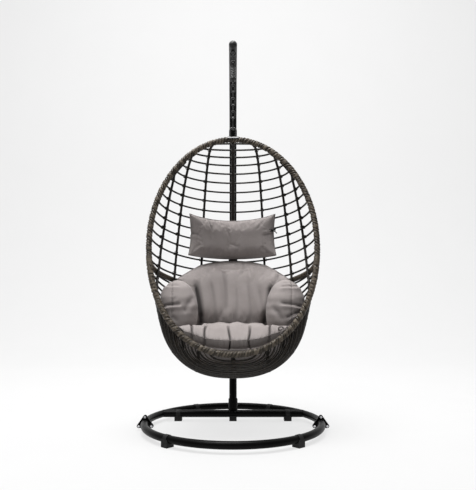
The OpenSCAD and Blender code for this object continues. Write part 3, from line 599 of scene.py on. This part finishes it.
heap = Heap()
all_rungs = [p for paths in rung_paths.values() for p in paths]
for i, rib in rib_paths.items():
    r = MID_RIB_R if i == 4 else RIB_R
    for rung in all_rungs:
        found = crossing(rib, rung, 2.2 * r + RUNG_R + 6)
        if found:
            a, b, da, db = found
            turned = [to_frame(a + d) - to_frame(a) for d in (da, db)]
            binding(heap, to_frame(a), to_frame(b), unit(turned[0]), unit(turned[1]), r / 1000, RUNG_R / 1000)
swap(heap.piece("rib_bindings", rung_mat), "rung_rattan")

heap = Heap()
rim_length = np.concatenate([[0], np.cumsum(np.linalg.norm(np.diff(rim_line, axis=0), axis=1))])
for path in all_rungs + [rail_path]:
    for end in (path[0], path[-1]):
        middle = rim_length[np.linalg.norm(rim_line - end, axis=1).argmin()]
        half = RAIL_COLLAR if path is rail_path else RUNG_COLLAR
        piece = sample((middle + np.linspace(-half, half, 9)) % rim_length[-1], rim_length, rim_line)
        heap.add(*wound(to_frame(piece), (RIM_R + 1.7) / 1000, pitch=0.0043, sides=18, depth=0.0011))
swap(heap.piece("rim_collars", rail_mat, weld=WELD), "rim_rattan")

# Closer strands between the ones that carry the bowl
heap = Heap()
bowl_lengths = [spine_length(t) for t in rung_sets["rungs_bowl"]]
front_lengths = [spine_length(t) for t in rung_sets["strands_front"]]
for lengths in (bowl_lengths, bowl_lengths[-1:] + front_lengths):
    for low, high in zip(lengths, lengths[1:]):
        if low < DENSE_FROM:
            continue
        count = round((high - low) / DENSE_PITCH)
        for k in range(1, count):
            path = to_frame(bar_path(spine_at(low + (high - low) * k / count)))
            v, f = tube(path, DENSE_R, 8)
            heap.add(v, f, {"tone": np.full(len(v), rng.random()), "crown": np.ones(len(v))})
swap(heap.piece("bowl_strands", strand_mat), "rung_rattan")

heap = Heap()
rail_u = np.linspace(-80, 80, len(rail_path))
below, above = (to_frame(inset(np.full(len(rail_u), RAIL_T + step), rail_u, 0.0)) for step in (0.03, -0.03))
for side in (-1, 1):
    edge = to_frame(rail_path) + side * unit(below - above) * RAIL_R / 1000
    heap.add(*wound(edge, 0.0026, pitch=0.005, sides=8, depth=0.0006))
swap(heap.piece("rail_edges", rung_mat, weld=WELD), "rung_rattan")


# ---- Cushions ----
MID_LAYER = RUNG_R + RIB_WRAP[0] + 2 * MID_RIB_R + 1
PADS = {
    "back_cushion": dict(t=(0.93, 1.46), u=(-57, 57), thick=120, focus=(0, 100, -700),
                         draw=0.03, arch=0.2, flare=0, rows=56, cols=110),
    "head_pillow": dict(t=(0.655, 0.96), u=(-45, 43.5), thick=100, focus=(0, 60, -480),
                        draw=0.08, arch=0, flare=0.05, rows=44, cols=90)}


def pad_grid(t, u, thick, focus, draw, arch, flare, rows, cols):
    """Outer and inner faces of a cushion as grids of points, and how free each point is to swell. t and u are
    its limits on the shell. draw pulls in its sides, arch drops its top corners and flare narrows its foot."""
    a = np.sin(np.linspace(-1, 1, rows + 1) * math.pi / 2)[:, None] + np.zeros((1, cols + 1))
    b = np.sin(np.linspace(-1, 1, cols + 1) * math.pi / 2)[None, :] + np.zeros((rows + 1, 1))
    a = 0.5 * a + 0.5 * np.linspace(-1, 1, rows + 1)[:, None]
    b = 0.5 * b + 0.5 * np.linspace(-1, 1, cols + 1)[None, :]
    mid_t, half_t = (t[0] + t[1]) / 2, (t[1] - t[0]) / 2
    mid_u, half_u = (u[0] + u[1]) / 2, (u[1] - u[0]) / 2
    t = mid_t + half_t * a * (1 - draw * (1 - b * b)) + arch * (1 - a) / 2 * b * b
    u = mid_u + half_u * b * (1 - draw * (1 - a * a)) * (1 - flare * a)
    p = inset(t, u, np.full(t.shape, MID_LAYER))
    toward = unit(np.array(focus, float) - p)
    edge = (np.maximum(0, 1 - np.abs(a) ** 4) * np.maximum(0, 1 - np.abs(b) ** 4)) ** 0.4
    low = 0.3 * (1 - edge)
    high = 0.3 + 0.7 * edge + EDGE_BAND / thick * (1 - edge)
    free = np.clip(edge * 1.6 - 0.35, 0, 1)
    return p + thick * low[..., None] * toward, p + thick * high[..., None] * toward, free


def grid_faces(rows, cols):
    """Faces of a grid of rows by cols squares."""
    n = cols + 1
    corners = [i * n + j for i in range(rows) for j in range(cols)]
    return [[k, k + n, k + n + 1, k + 1] for k in corners]


def pad_faces(na, nb):
    """Faces of a closed pad of two grids, and the ring of points round its edge."""
    def at(i, j):
        return i * (nb + 1) + j
    m = (na + 1) * (nb + 1)
    out = grid_faces(na, nb)
    faces = out + [[m + f[0], m + f[3], m + f[2], m + f[1]] for f in out]
    ring = [at(i, 0) for i in range(na)] + [at(na, j) for j in range(nb)] \
        + [at(i, nb) for i in range(na, 0, -1)] + [at(0, j) for j in range(nb, 0, -1)]
    for k, e in enumerate(ring):
        nxt = ring[(k + 1) % len(ring)]
        faces.append([nxt, e, m + e, m + nxt])
    return faces, ring


PUFF_FRAMES, PUFF_PRESSURE, PUFF_SPARE, PUFF_CAP = 20, 4.0, 0.05, 0.005


def points_of(obj):
    return np.array([v.co for v in obj.data.vertices])


def puff(obj, free):
    """Swells a cushion as cloth. Its seams are pinned, and no point moves further than PUFF_CAP."""
    group = obj.vertex_groups.new(name="pinned")
    for i, f in enumerate(free):
        group.add([i], float(1 - min(1, f)), "REPLACE")
    before = points_of(obj)
    mod = obj.modifiers.new("puff", "CLOTH")
    settings = mod.settings
    settings.quality, settings.mass = 5, 0.25
    settings.tension_stiffness = settings.compression_stiffness = 12
    settings.shear_stiffness, settings.bending_stiffness = 5, 0.3
    settings.use_pressure, settings.uniform_pressure_force = True, PUFF_PRESSURE
    settings.vertex_group_mass, settings.pin_stiffness = "pinned", 1.0
    settings.shrink_min = -PUFF_SPARE
    settings.effector_weights.gravity = 0
    mod.collision_settings.use_collision = False
    mod.point_cache.frame_start, mod.point_cache.frame_end = 1, PUFF_FRAMES
    for f in range(1, PUFF_FRAMES + 1):
        bpy.context.scene.frame_set(f)
    moved = obj.evaluated_get(bpy.context.evaluated_depsgraph_get())
    after = points_of(moved)
    obj.modifiers.clear()
    obj.vertex_groups.clear()
    bpy.context.scene.frame_set(1)
    shift = after - before
    size = np.linalg.norm(shift, axis=1, keepdims=True)
    shift *= PUFF_CAP * np.tanh(size / PUFF_CAP) / np.maximum(size, 1e-9)
    for v, p in zip(obj.data.vertices, before + shift):
        v.co = p


def smooth_steps(obj):
    """Divides each face of a piece once, with rounding."""
    mod = obj.modifiers.new("fine", "SUBSURF")
    mod.levels = mod.render_levels = 1
    done = bpy.data.meshes.new_from_object(obj.evaluated_get(bpy.context.evaluated_depsgraph_get()))
    obj.modifiers.clear()
    obj.data = done
    done.polygons.foreach_set("use_smooth", [True] * len(done.polygons))


RING_Y = rock["pos_m"][1]
EYE = Vector((0, RING_Y - 3.19, 0.74))
# The picture's focal length and the place of its level line of sight, in pixels
FOCAL, SIGHT_X, SIGHT_Y = 622.4, 233, 285.6


def project(p):
    """Where points fall in the picture, in pixels of its 476 x 490 frame."""
    depth = p[..., 1] - EYE.y
    return np.stack([SIGHT_X + FOCAL * p[..., 0] / depth, SIGHT_Y + FOCAL * (EYE.z - p[..., 2]) / depth], -1)


def look_at(tree, x, y):
    """The point of a surface that shows at a pixel, and its normal."""
    way = Vector(((x - SIGHT_X) / FOCAL, 1, (SIGHT_Y - y) / FOCAL)).normalized()
    return tree.ray_cast(EYE, way)[:2]


# DEEP_CREASE is how deep a fold must sink for its painted shade to be full
FOLD_BOW, FOLD_SCALE, DEEP_CREASE = 0.04, 1.15, 0.011


def fold_height(p, folds):
    """Height of the folds at each point, in metres. A fold is a line between two pixels, its half width in
    pixels, its depth in millimetres and how far its lower lip stands up as a share of that."""
    xy = project(p)
    out = np.zeros(p.shape[:-1])
    for x0, y0, x1, y1, width, deep, lip in folds:
        start, along = np.array([x0, y0]), np.array([x1 - x0, y1 - y0], float)
        length = np.linalg.norm(along)
        along /= length
        s = ((xy - start) @ along) / length
        bow = FOLD_BOW * length * np.sin(math.pi * np.clip(s, 0, 1))
        d = (xy - start) @ np.array([-along[1], along[0]]) + bow
        fade = np.clip(np.minimum(s, 1 - s) * 4 + 0.35, 0, 1)
        taper = fade ** 2 * (3 - 2 * fade) * ((s > -0.09) & (s < 1.09))
        groove = np.exp(-(d / width) ** 2)
        raised = np.exp(-((d - 1.9 * width) / (1.2 * width)) ** 2)
        out += FOLD_SCALE * deep / 1000 * taper * (lip * raised - groove)
    return out


def shift_out(obj, height):
    """Moves each point along its normal by its height, and stores a painted shade that is darker the deeper the
    point lies in folds and creases.
    """
    normals = np.empty(len(obj.data.vertices) * 3, np.float32)
    obj.data.vertex_normals.foreach_get("vector", normals)
    normals = normals.reshape(-1, 3).astype(float)
    co = points_of(obj)
    facing = np.clip(np.maximum(-normals[:, 1], normals[:, 2]) * 3 + 0.4, 0, 1)
    move = height(co) * facing
    co += normals * move[:, None]
    # painted shade mask: 0 on open cloth, 1 deep in folds and creases
    layer = obj.data.attributes.new("crease", "FLOAT", "POINT")
    layer.data.foreach_set("value", np.clip(-move / DEEP_CREASE - 0.2, 0, 1).astype(np.float32))
    obj.data.vertices.foreach_set("co", co.ravel())
    obj.data.update()


def clump(values, low, high, count, seed):
    """A smooth random wave of about count cycles between low and high, the same for the same seed."""
    waves = np.random.default_rng(seed).normal(0, 1, (2, 4))
    x = (values - low) / (high - low) * 2 * math.pi * count
    return sum(waves[0, i] * np.sin(x * (0.7 + 0.23 * i) + 3 * waves[1, i]) for i in range(4)) / 2.4


# The inner face of the basket's bars, which every cushion rests against
WALL_ROWS, WALL_COLS = 150, 90
t_wall, u_wall = np.meshgrid(np.linspace(0.5, 2.84, WALL_ROWS), np.linspace(-88, 88, WALL_COLS), indexing="ij")
wall_points = to_frame(inset(t_wall, u_wall, np.full(t_wall.shape, MID_LAYER + 0.5))).reshape(-1, 3)
wall = BVHTree.FromPolygons(wall_points.tolist(), grid_faces(WALL_ROWS - 1, WALL_COLS - 1))


def settle(points, centre):
    """Brings points that lie behind the basket's bars back to them, along lines from a centre."""
    out = points.copy()
    for i, p in enumerate(points):
        way = Vector(p - centre)
        hit = wall.ray_cast(Vector(centre), way.normalized(), way.length)
        if hit[3] is not None:
            out[i] = centre + np.array(way.normalized()) * hit[3]
    return out


def finish_cushion(obj, name, folds, extra, free=None):
    """Swells a cushion where it is free, adds its folds and extra relief with painted shade in their creases, and
    puts it in its node's place.
    """
    bm = bmesh.new()
    bm.from_mesh(obj.data)
    bmesh.ops.recalc_face_normals(bm, faces=bm.faces)
    bm.to_mesh(obj.data)
    bm.free()
    if free is not None:
        puff(obj, free)
    shift_out(obj, lambda co: fold_height(co, folds) + extra(co))
    smooth_steps(obj)
    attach(obj, BASKET)
    swap(obj, "cushion_fabric", name)


def piping(name, line, r=0.0022):
    verts, faces = tube(line, r, 8, True)
    swap(make_piece(name + "_piping", verts, faces, piping_mat), "cushion_fabric")


# Each cushion's folds, as fold_height reads them, and its count of gathers
FOLDS = {
    "back_cushion": [(236, 262, 238, 279, 1.6, 2.6, 0.6), (243, 262, 242, 275, 1.1, 3, 0.6),
                     (248, 264, 251, 278, 1.1, 3.2, 0.7), (256.5, 265, 251, 283, 1.4, 3, 0.5),
                     (280, 270, 269, 290, 1.6, 5.5, 0.7), (223, 268, 226, 312, 3.6, 5, 0.5),
                     (211, 278, 216, 328, 3.4, 5, 0.5), (198, 278, 202, 318, 4.0, 4, 0.4),
                     (236, 284, 234, 328, 3.0, 4, 0.5), (247, 282, 249, 326, 3.2, 4, 0.4),
                     (258, 286, 262, 328, 3.2, 4, 0.4), (186, 273, 182, 284, 1.2, 2.5, 0.5),
                     # the last two are deep valleys beside the arms, which get full painted shade as a shadow line
                     (195, 282, 201.5, 330, 3.0, 12, 0.05), (269, 282, 262.5, 330, 3.0, 12, 0.05)],
    "head_pillow": [(200, 217, 208, 229, 1.2, 3.4, 0.5), (208, 218, 213, 231, 1.2, 3.6, 0.5),
                    (217, 220, 220, 231, 1.2, 3.2, 0.5), (228, 221, 229, 228, 1.1, 2.5, 0.4),
                    (187, 233, 199, 235, 1.3, 5, 0.6), (274, 232, 263, 235, 1.3, 5, 0.6),
                    (236, 221, 236, 230, 1.1, 2.4, 0.4), (264, 219, 257, 229, 1.2, 3.2, 0.5),
                    (191, 253, 200, 244, 1.4, 3.2, 0.4), (270, 254, 261, 246, 1.4, 3.2, 0.4),
                    (209, 219, 214, 238, 1.6, 2.4, 0.4)],
    "arm_cushion_left": [(160, 307, 181, 304, 1.3, 10, 0.35), (160, 312.5, 169, 315, 1.2, 7, 0.3),
                         (163, 285.5, 180, 285.5, 1.1, 4, 0.5), (171, 316, 178, 322, 1.4, 4, 0.5),
                         (184, 312, 194, 296, 3.0, 5, 0.5), (172, 303, 176, 297, 1.6, 3, 0.4)],
    "arm_cushion_right": [(281, 303, 303, 307, 1.3, 10, 0.35), (286, 318, 302, 311.5, 1.3, 9, 0.35),
                          (280, 286.5, 300, 286.5, 1.2, 5, 0.6), (283, 283, 297, 283, 0.9, 3.5, 0.5),
                          (272, 306, 283, 320, 3.0, 5, 0.5), (287, 325, 300, 319, 1.1, 6, 0.3)]}
PUCKER = {"back_cushion": 31, "head_pillow": 20}
for name, pad in PADS.items():
    back, front, free = pad_grid(**pad)
    faces, ring = pad_faces(pad["rows"], pad["cols"])
    points = np.concatenate([to_frame(back).reshape(-1, 3), to_frame(front).reshape(-1, 3)])
    obj = make_piece(name + "_cover", points, faces, cushion_mat, None)
    swells = np.concatenate([0 * free.ravel(), free.ravel()])
    near_seam = np.concatenate([0 * free.ravel(), 1 - free.ravel()])

    def gathers(co, near_seam=near_seam, count=PUCKER[name]):
        return 0.0016 * near_seam * clump(co[:, 0], -0.29, 0.29, count, 5)
    finish_cushion(obj, name, FOLDS[name], gathers, swells)
    piping(name, (points[ring] + points[np.array(ring) + len(points) // 2]) / 2)


# The arm bolsters: an egg of cloth that leans on the basket's side and stands on the seat's edge
SEAT_SIDE = 0.508
BOLSTER_FLAT, BOLSTER_UP = 2.2, 2.1
STITCH_TOP, STITCH_LOW, STITCH_STEP = 284, 327, 1.75


def bolster(name, centre, half, seam_x):
    """seam_x is the column of pixels that the sewn seam runs down."""
    centre, half = np.array(centre), np.array(half)
    na, nb = 64, 112
    lat = np.linspace(-math.pi / 2, math.pi / 2, na + 1)[1:-1, None]
    lon = np.linspace(0, 2 * math.pi, nb + 1)[None, :-1]
    flat = np.abs(np.cos(lat)) ** (2 / BOLSTER_UP)
    x = signed_pow(np.cos(lon), 2 / BOLSTER_FLAT) * flat
    y = signed_pow(np.sin(lon), 2 / BOLSTER_FLAT) * flat
    z = signed_pow(np.sin(lat), 2 / BOLSTER_UP) + 0 * lon
    grid = np.stack([x, y, z], -1) * half + centre
    points = np.concatenate([grid.reshape(-1, 3), [centre - [0, 0, half[2]], centre + [0, 0, half[2]]]])
    floor_z, soft = SEAT_SIDE + 0.006, 0.008
    points[:, 2] = floor_z + np.logaddexp(0, (points[:, 2] - floor_z) / soft) * soft
    points = settle(points, centre)
    rows = na - 1
    faces = [[i * nb + j, i * nb + (j + 1) % nb, (i + 1) * nb + (j + 1) % nb, (i + 1) * nb + j]
             for i in range(rows - 1) for j in range(nb)]
    low, high = rows * nb, rows * nb + 1
    faces += [[low, (j + 1) % nb, j] for j in range(nb)]
    faces += [[high, (rows - 1) * nb + j, (rows - 1) * nb + (j + 1) % nb] for j in range(nb)]
    obj = make_piece(name + "_cover", points, faces, cushion_mat, None)

    def seam(co):
        xy = project(co)
        groove = np.exp(-((xy[:, 0] - seam_x) / 0.7) ** 2)
        near = np.exp(-((xy[:, 0] - seam_x) / 2.6) ** 2)
        return -0.0035 * groove + near * 0.0011 * np.sin(xy[:, 1] * 2.9) \
            + 0.0012 * clump(xy[:, 1], 281, 329, 5, 11)
    finish_cushion(obj, name, FOLDS[name], seam)
    tree = BVHTree.FromObject(obj, bpy.context.evaluated_depsgraph_get())
    heap = Heap()
    for y in np.arange(STITCH_TOP, STITCH_LOW, STITCH_STEP):
        ends = [look_at(tree, seam_x, y + dy) for dy in (0, 0.95)]
        if ends[0][0] is None or ends[1][0] is None:
            continue
        line = np.array([np.array(p) + 0.0006 * np.array(n) for p, n in ends])
        line = np.array([line[0], line.mean(0) + 0.0005 * np.array(ends[0][1]), line[1]])
        heap.add(*tube(line, 0.0009, 6))
    swap(heap.piece(name + "_stitches", thread_mat), "cushion_fabric")


bolster("arm_cushion_left", (-0.279, -0.138, 0.605), half=(0.102, 0.104, 0.162), seam_x=172)
bolster("arm_cushion_right", (0.266, -0.138, 0.608), half=(0.101, 0.104, 0.162), seam_x=291.5)


# The seat: a boxed cushion that fills the bowl, with sewn channels from its front edge
SEAT_CHANNELS = (-0.203, -0.130, -0.017, 0.076, 0.182)
SEAT_FRONT, SEAT_REAR, SEAT_HALF, SEAT_BOX = -0.303, -0.012, 0.262, 0.047
SEAT_ROWS, SEAT_COLS, SEAT_LIP = 66, 186, 0.84
SEAT_CENTRE = np.array([0, -0.15, 0.47])


def seat_top(x, y, side):
    """Height of the seat's upper face, which rises from its front edge and is pressed down under the arms."""
    steep = 0.105 - 0.052 * np.clip((np.abs(x) - 0.11) / 0.06, 0, 1)
    rise = np.clip((y - SEAT_FRONT) / steep, 0, 1)
    across = np.clip((side - np.abs(x)) / 0.042, 0, 1)
    back_edge = np.clip((0.0 - y) / 0.05, 0, 1)
    edge = 0.482 + 0.04 * np.abs(x / SEAT_HALF) ** 3
    under_arm = np.clip((np.abs(x) - 0.15) / 0.05, 0, 1) * np.clip((y + 0.238) / 0.014, 0, 1)
    crown = 0.547 + 0.004 * np.exp(-((x + 0.012) / 0.04) ** 2) + 0.0025 * clump(x, -0.28, 0.28, 5, 21)
    crown = crown + (SEAT_SIDE - crown) * under_arm
    lift = np.sin(rise * math.pi / 2) * np.sqrt(1 - (1 - across) ** 2) * np.sqrt(1 - (1 - back_edge) ** 2)
    return edge + (crown - edge) * lift


a, b = np.meshgrid(np.linspace(-1, 1, SEAT_ROWS + 1), np.linspace(-1, 1, SEAT_COLS + 1), indexing="ij")
r = np.maximum(np.abs(a), np.abs(b))
inner = np.minimum(r, SEAT_LIP) / SEAT_LIP
a, b = a / np.maximum(r, 1e-6) * inner, b / np.maximum(r, 1e-6) * inner
plan_a, plan_b = a * np.sqrt(1 - 0.2 * b ** 2), b * np.sqrt(1 - 0.2 * a ** 2)
y = (SEAT_FRONT + SEAT_REAR) / 2 - (SEAT_FRONT - SEAT_REAR) / 2 * plan_a
width = SEAT_HALF + 0.026 * np.sin(np.clip((y - SEAT_FRONT) / 0.2, 0, 1) * math.pi)
x = width * plan_b
z = seat_top(x, y, width)
drop = np.clip((r - SEAT_LIP) / (1 - SEAT_LIP), 0, 1)
wall_out = 0.005 * np.sin(drop * math.pi) - 0.026 * drop
away = unit(np.stack([x, y - SEAT_CENTRE[1], 0 * z], -1) + 1e-9)
upper = np.stack([x, y, z], -1) + away * wall_out[..., None] \
    - np.array([0, 0, 1.0]) * (drop * SEAT_BOX)[..., None]
lower = np.stack([x * 0.97, y, z - SEAT_BOX - 0.2 * (1 - inner ** 6)], -1)
faces, ring = pad_faces(SEAT_ROWS, SEAT_COLS)
points = settle(np.concatenate([lower.reshape(-1, 3), upper.reshape(-1, 3)]), SEAT_CENTRE)
obj = make_piece("seat_cushion_cover", points, faces, cushion_mat, None)


def quilting(co):
    """The sewn channels from the front edge, with gathers at the seam round the top and down the side."""
    top = co[len(co) // 2:]
    depth = top[:, 1] - SEAT_FRONT
    fade = np.exp(-(np.clip(depth - 0.03, 0, 1) / 0.07) ** 2) * 0.92 + 0.08
    edge = np.exp(-((r.ravel() - SEAT_LIP) / 0.05) ** 2)
    height = np.zeros(len(top))
    for c in SEAT_CHANNELS:
        off = top[:, 0] - c + 0.006 * np.sin(depth * 30 + c * 40)
        # each channel sinks 20 mm, deep enough for full painted shade along it
        height -= 0.02 * fade * np.exp(-(off / 0.0046) ** 2)
        height += 0.004 * fade * np.exp(-(off / 0.022) ** 2)
    height += edge * (0.0012 * clump(top[:, 0], -0.28, 0.28, 38, 3) - 0.001)
    height += 0.0012 * clump(top[:, 0], -0.28, 0.28, 24, 8) * (r.ravel() > SEAT_LIP)
    return np.concatenate([np.zeros(len(top)), height])


finish_cushion(obj, "seat_cushion", [], quilting)
co = points_of(obj)
scale = np.array([SEAT_ROWS, SEAT_COLS]) / 2
seam_ring = np.array([divmod(k, SEAT_COLS + 1) for k in ring])
seam_at = np.round((seam_ring - scale) * SEAT_LIP + scale).astype(int)
seam_at = seam_at[[(seam_at[k] != seam_at[k - 1]).any() for k in range(len(seam_at))]]
seam_line = co[(SEAT_ROWS + 1 + seam_at[:, 0]) * (SEAT_COLS + 1) + seam_at[:, 1]]
piping("seat_cushion", seam_line, 0.0018)


# ---- Ties: a short cord with a loose bow, from each end of the pillow and of the seat ----
TIE_CLEAR = 0.004


def bow(name, knot, mat, slot, r, size, tails):
    """A knot with two loops and hanging tails, spread across X and Z."""
    heap = Heap()
    for side in (-1, 1):
        way = spline([(0, 0, 0), (0.5 * side, -0.1, 0.5), (side, -0.15, 0.45), (1.05 * side, -0.1, -0.05),
                      (0.5 * side, -0.05, -0.2), (0, 0, 0)], 22)
        heap.add(*tube(np.array(knot) + size * way, r, 7))
    for dx, dz in tails:
        way = spline([(0, 0, 0), (0.3 * dx, -0.2, 0.1 * dz), (0.8 * dx, -0.25, 0.6 * dz), (dx, -0.15, dz)], 14)
        heap.add(*tube(np.array(knot) + size * way, r, 7))
    turn = np.linspace(0, 2 * math.pi, 13)[:-1]
    ring = np.array(knot) + np.stack([0 * turn, 1.7 * r * np.cos(turn), 1.9 * r * np.sin(turn)], -1)
    heap.add(*tube(ring, 1.2 * r, 7, True))
    swap(heap.piece(name, mat), slot)


def edge_point(name, x, y):
    """A point in front of a cushion at a pixel, TIE_CLEAR off its surface."""
    tree = BVHTree.FromObject(bpy.data.objects[name + "_cover"], bpy.context.evaluated_depsgraph_get())
    place, normal = look_at(tree, x, y)
    return None if place is None else np.array(place) + TIE_CLEAR * np.array(normal)


tape, cord = (webbing_mat, "webbing", 0.0026), (piping_mat, "cushion_fabric", 0.0042)
for name, cushion, x, y, kind, size, tails in (
        ("pillow_tie_left", "head_pillow", 190.5, 231.5, tape, 0.015, [(-1.7, -1.0), (-1.5, 0.8)]),
        ("pillow_tie_right", "head_pillow", 271.5, 230.5, tape, 0.015, [(1.7, -1.0), (1.4, 0.8)]),
        ("seat_tie_left", "seat_cushion", 182, 330.5, tape, 0.014, [(-1.6, -0.8), (1.2, -0.9)]),
        ("seat_tie_right", "seat_cushion", 284, 329.5, cord, 0.027, [(0.9, 0.3), (-0.8, -0.9)])):
    spot = edge_point(cushion, x, y)
    if spot is not None:
        bow(name, spot, *kind, size, tails)

# ---- The pillow's strap ----
STRAP_TOP, STRAP_LOW, STRAP_HALF, STRAP_THIN = 0.9, 1.02, 0.026, 0.055
count = 24
clear = np.full(count, MID_RIB_R * 2 + RUNG_R + RIB_WRAP[0] + 2.4)
line = to_frame(inset(np.linspace(STRAP_TOP, STRAP_LOW, count), np.zeros(count), clear))
heap = Heap()
heap.add(*tube(line, STRAP_HALF, 10, False, STRAP_THIN, np.tile([1.0, 0, 0], (count, 1))))
swap(heap.piece("pillow_strap_webbing", webbing_mat), "webbing", "pillow_strap")

# ---- The spring between its two seats, a still copy of its CAD node's coils ----
coil = bpy.data.objects.new("spring_coil", frame["nodes"]["spring"].data.copy())
bpy.context.scene.collection.objects.link(coil)
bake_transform(coil)
swap(coil, "hanger_steel", "spring")

# ---- Camera, floor and lights ----
camera = bpy.data.objects.new("camera", bpy.data.cameras.new("camera"))
bpy.context.scene.collection.objects.link(camera)
camera.location = EYE
camera.rotation_euler = (math.radians(90), 0, 0)
camera.data.sensor_fit, camera.data.sensor_height, camera.data.sensor_width = "VERTICAL", 36, 36
camera.data.lens = 45.73
camera.data.shift_x, camera.data.shift_y = 0.0102, 0.083
bpy.context.scene.camera = camera

floor_mat = Shade("floor", 0.85)
floor_mat.to("Base Color", floor_mat.ramp(floor_mat.noise(3, 2), [(0.3, grey(0.13)), (0.7, grey(0.135))]))
floor_mat.bsdf.inputs["Emission Color"].default_value = (1, 1, 1, 1)
floor_mat.bsdf.inputs["Emission Strength"].default_value = 0.69
FLOOR_BACK, FLOOR_FRONT, SWEEP_R, SWEEP_TOP, FLOOR_HALF, FLOOR_DROP = 2.2, -5, 2.2, 9, 14, 0.0004
bend = [(FLOOR_BACK + SWEEP_R * math.sin(a), SWEEP_R - SWEEP_R * math.cos(a))
        for a in np.linspace(0.1, math.pi / 2, 14)]
profile = [(FLOOR_FRONT, 0), (FLOOR_BACK, 0)] + bend + [(FLOOR_BACK + SWEEP_R, SWEEP_TOP)]
verts = [(x, y, z - FLOOR_DROP) for y, z in profile for x in (-FLOOR_HALF, FLOOR_HALF)]
faces = [(2 * i, 2 * i + 1, 2 * i + 3, 2 * i + 2) for i in range(len(profile) - 1)]
make_piece("studio_floor", verts, faces, floor_mat.mat, None)

# The sky lights from above, and the camera sees it plain and pale
world = bpy.data.worlds.new("studio")
world.use_nodes = True
tree = world.node_tree
where = tree.nodes.new("ShaderNodeSeparateXYZ")
tree.links.new(tree.nodes.new("ShaderNodeTexCoord").outputs["Generated"], where.inputs[0])
sky = tree.nodes.new("ShaderNodeValToRGB")
for stop, place, tone in zip(sky.color_ramp.elements, (0.0, 0.85), (0.12, 1)):
    stop.position, stop.color = place, (*grey(tone), 1)
tree.links.new(where.outputs[2], sky.inputs[0])
seen = tree.nodes.new("ShaderNodeMix")
seen.data_type = "RGBA"
seen.inputs[7].default_value = (*grey(1.5), 1)
tree.links.new(tree.nodes.new("ShaderNodeLightPath").outputs["Is Camera Ray"], seen.inputs[0])
tree.links.new(sky.outputs[0], seen.inputs[6])
tree.links.new(seen.outputs[2], tree.nodes["Background"].inputs[0])
tree.nodes["Background"].inputs[1].default_value = 0.6
bpy.context.scene.world = world
bpy.context.scene.view_settings.view_transform = "Standard"


def softbox(name, place, target, size, power):
    light = bpy.data.lights.new(name, "AREA")
    light.shape, light.size, light.energy = "DISK", size, power
    obj = bpy.data.objects.new(name, light)
    bpy.context.scene.collection.objects.link(obj)
    obj.location = place
    obj.rotation_euler = (Vector(target) - Vector(place)).to_track_quat("-Z", "Y").to_euler()


softbox("overhead", (-0.3, -0.5, 4.3), target=(0, 0.1, 0.6), size=2.2, power=205)
softbox("key", (-1.6, -2.2, 4.2), target=(0, 0, 0.9), size=1.2, power=35)
softbox("backdrop", (0, 1.6, 4.6), target=(0, 4.4, 2.0), size=5.0, power=165)
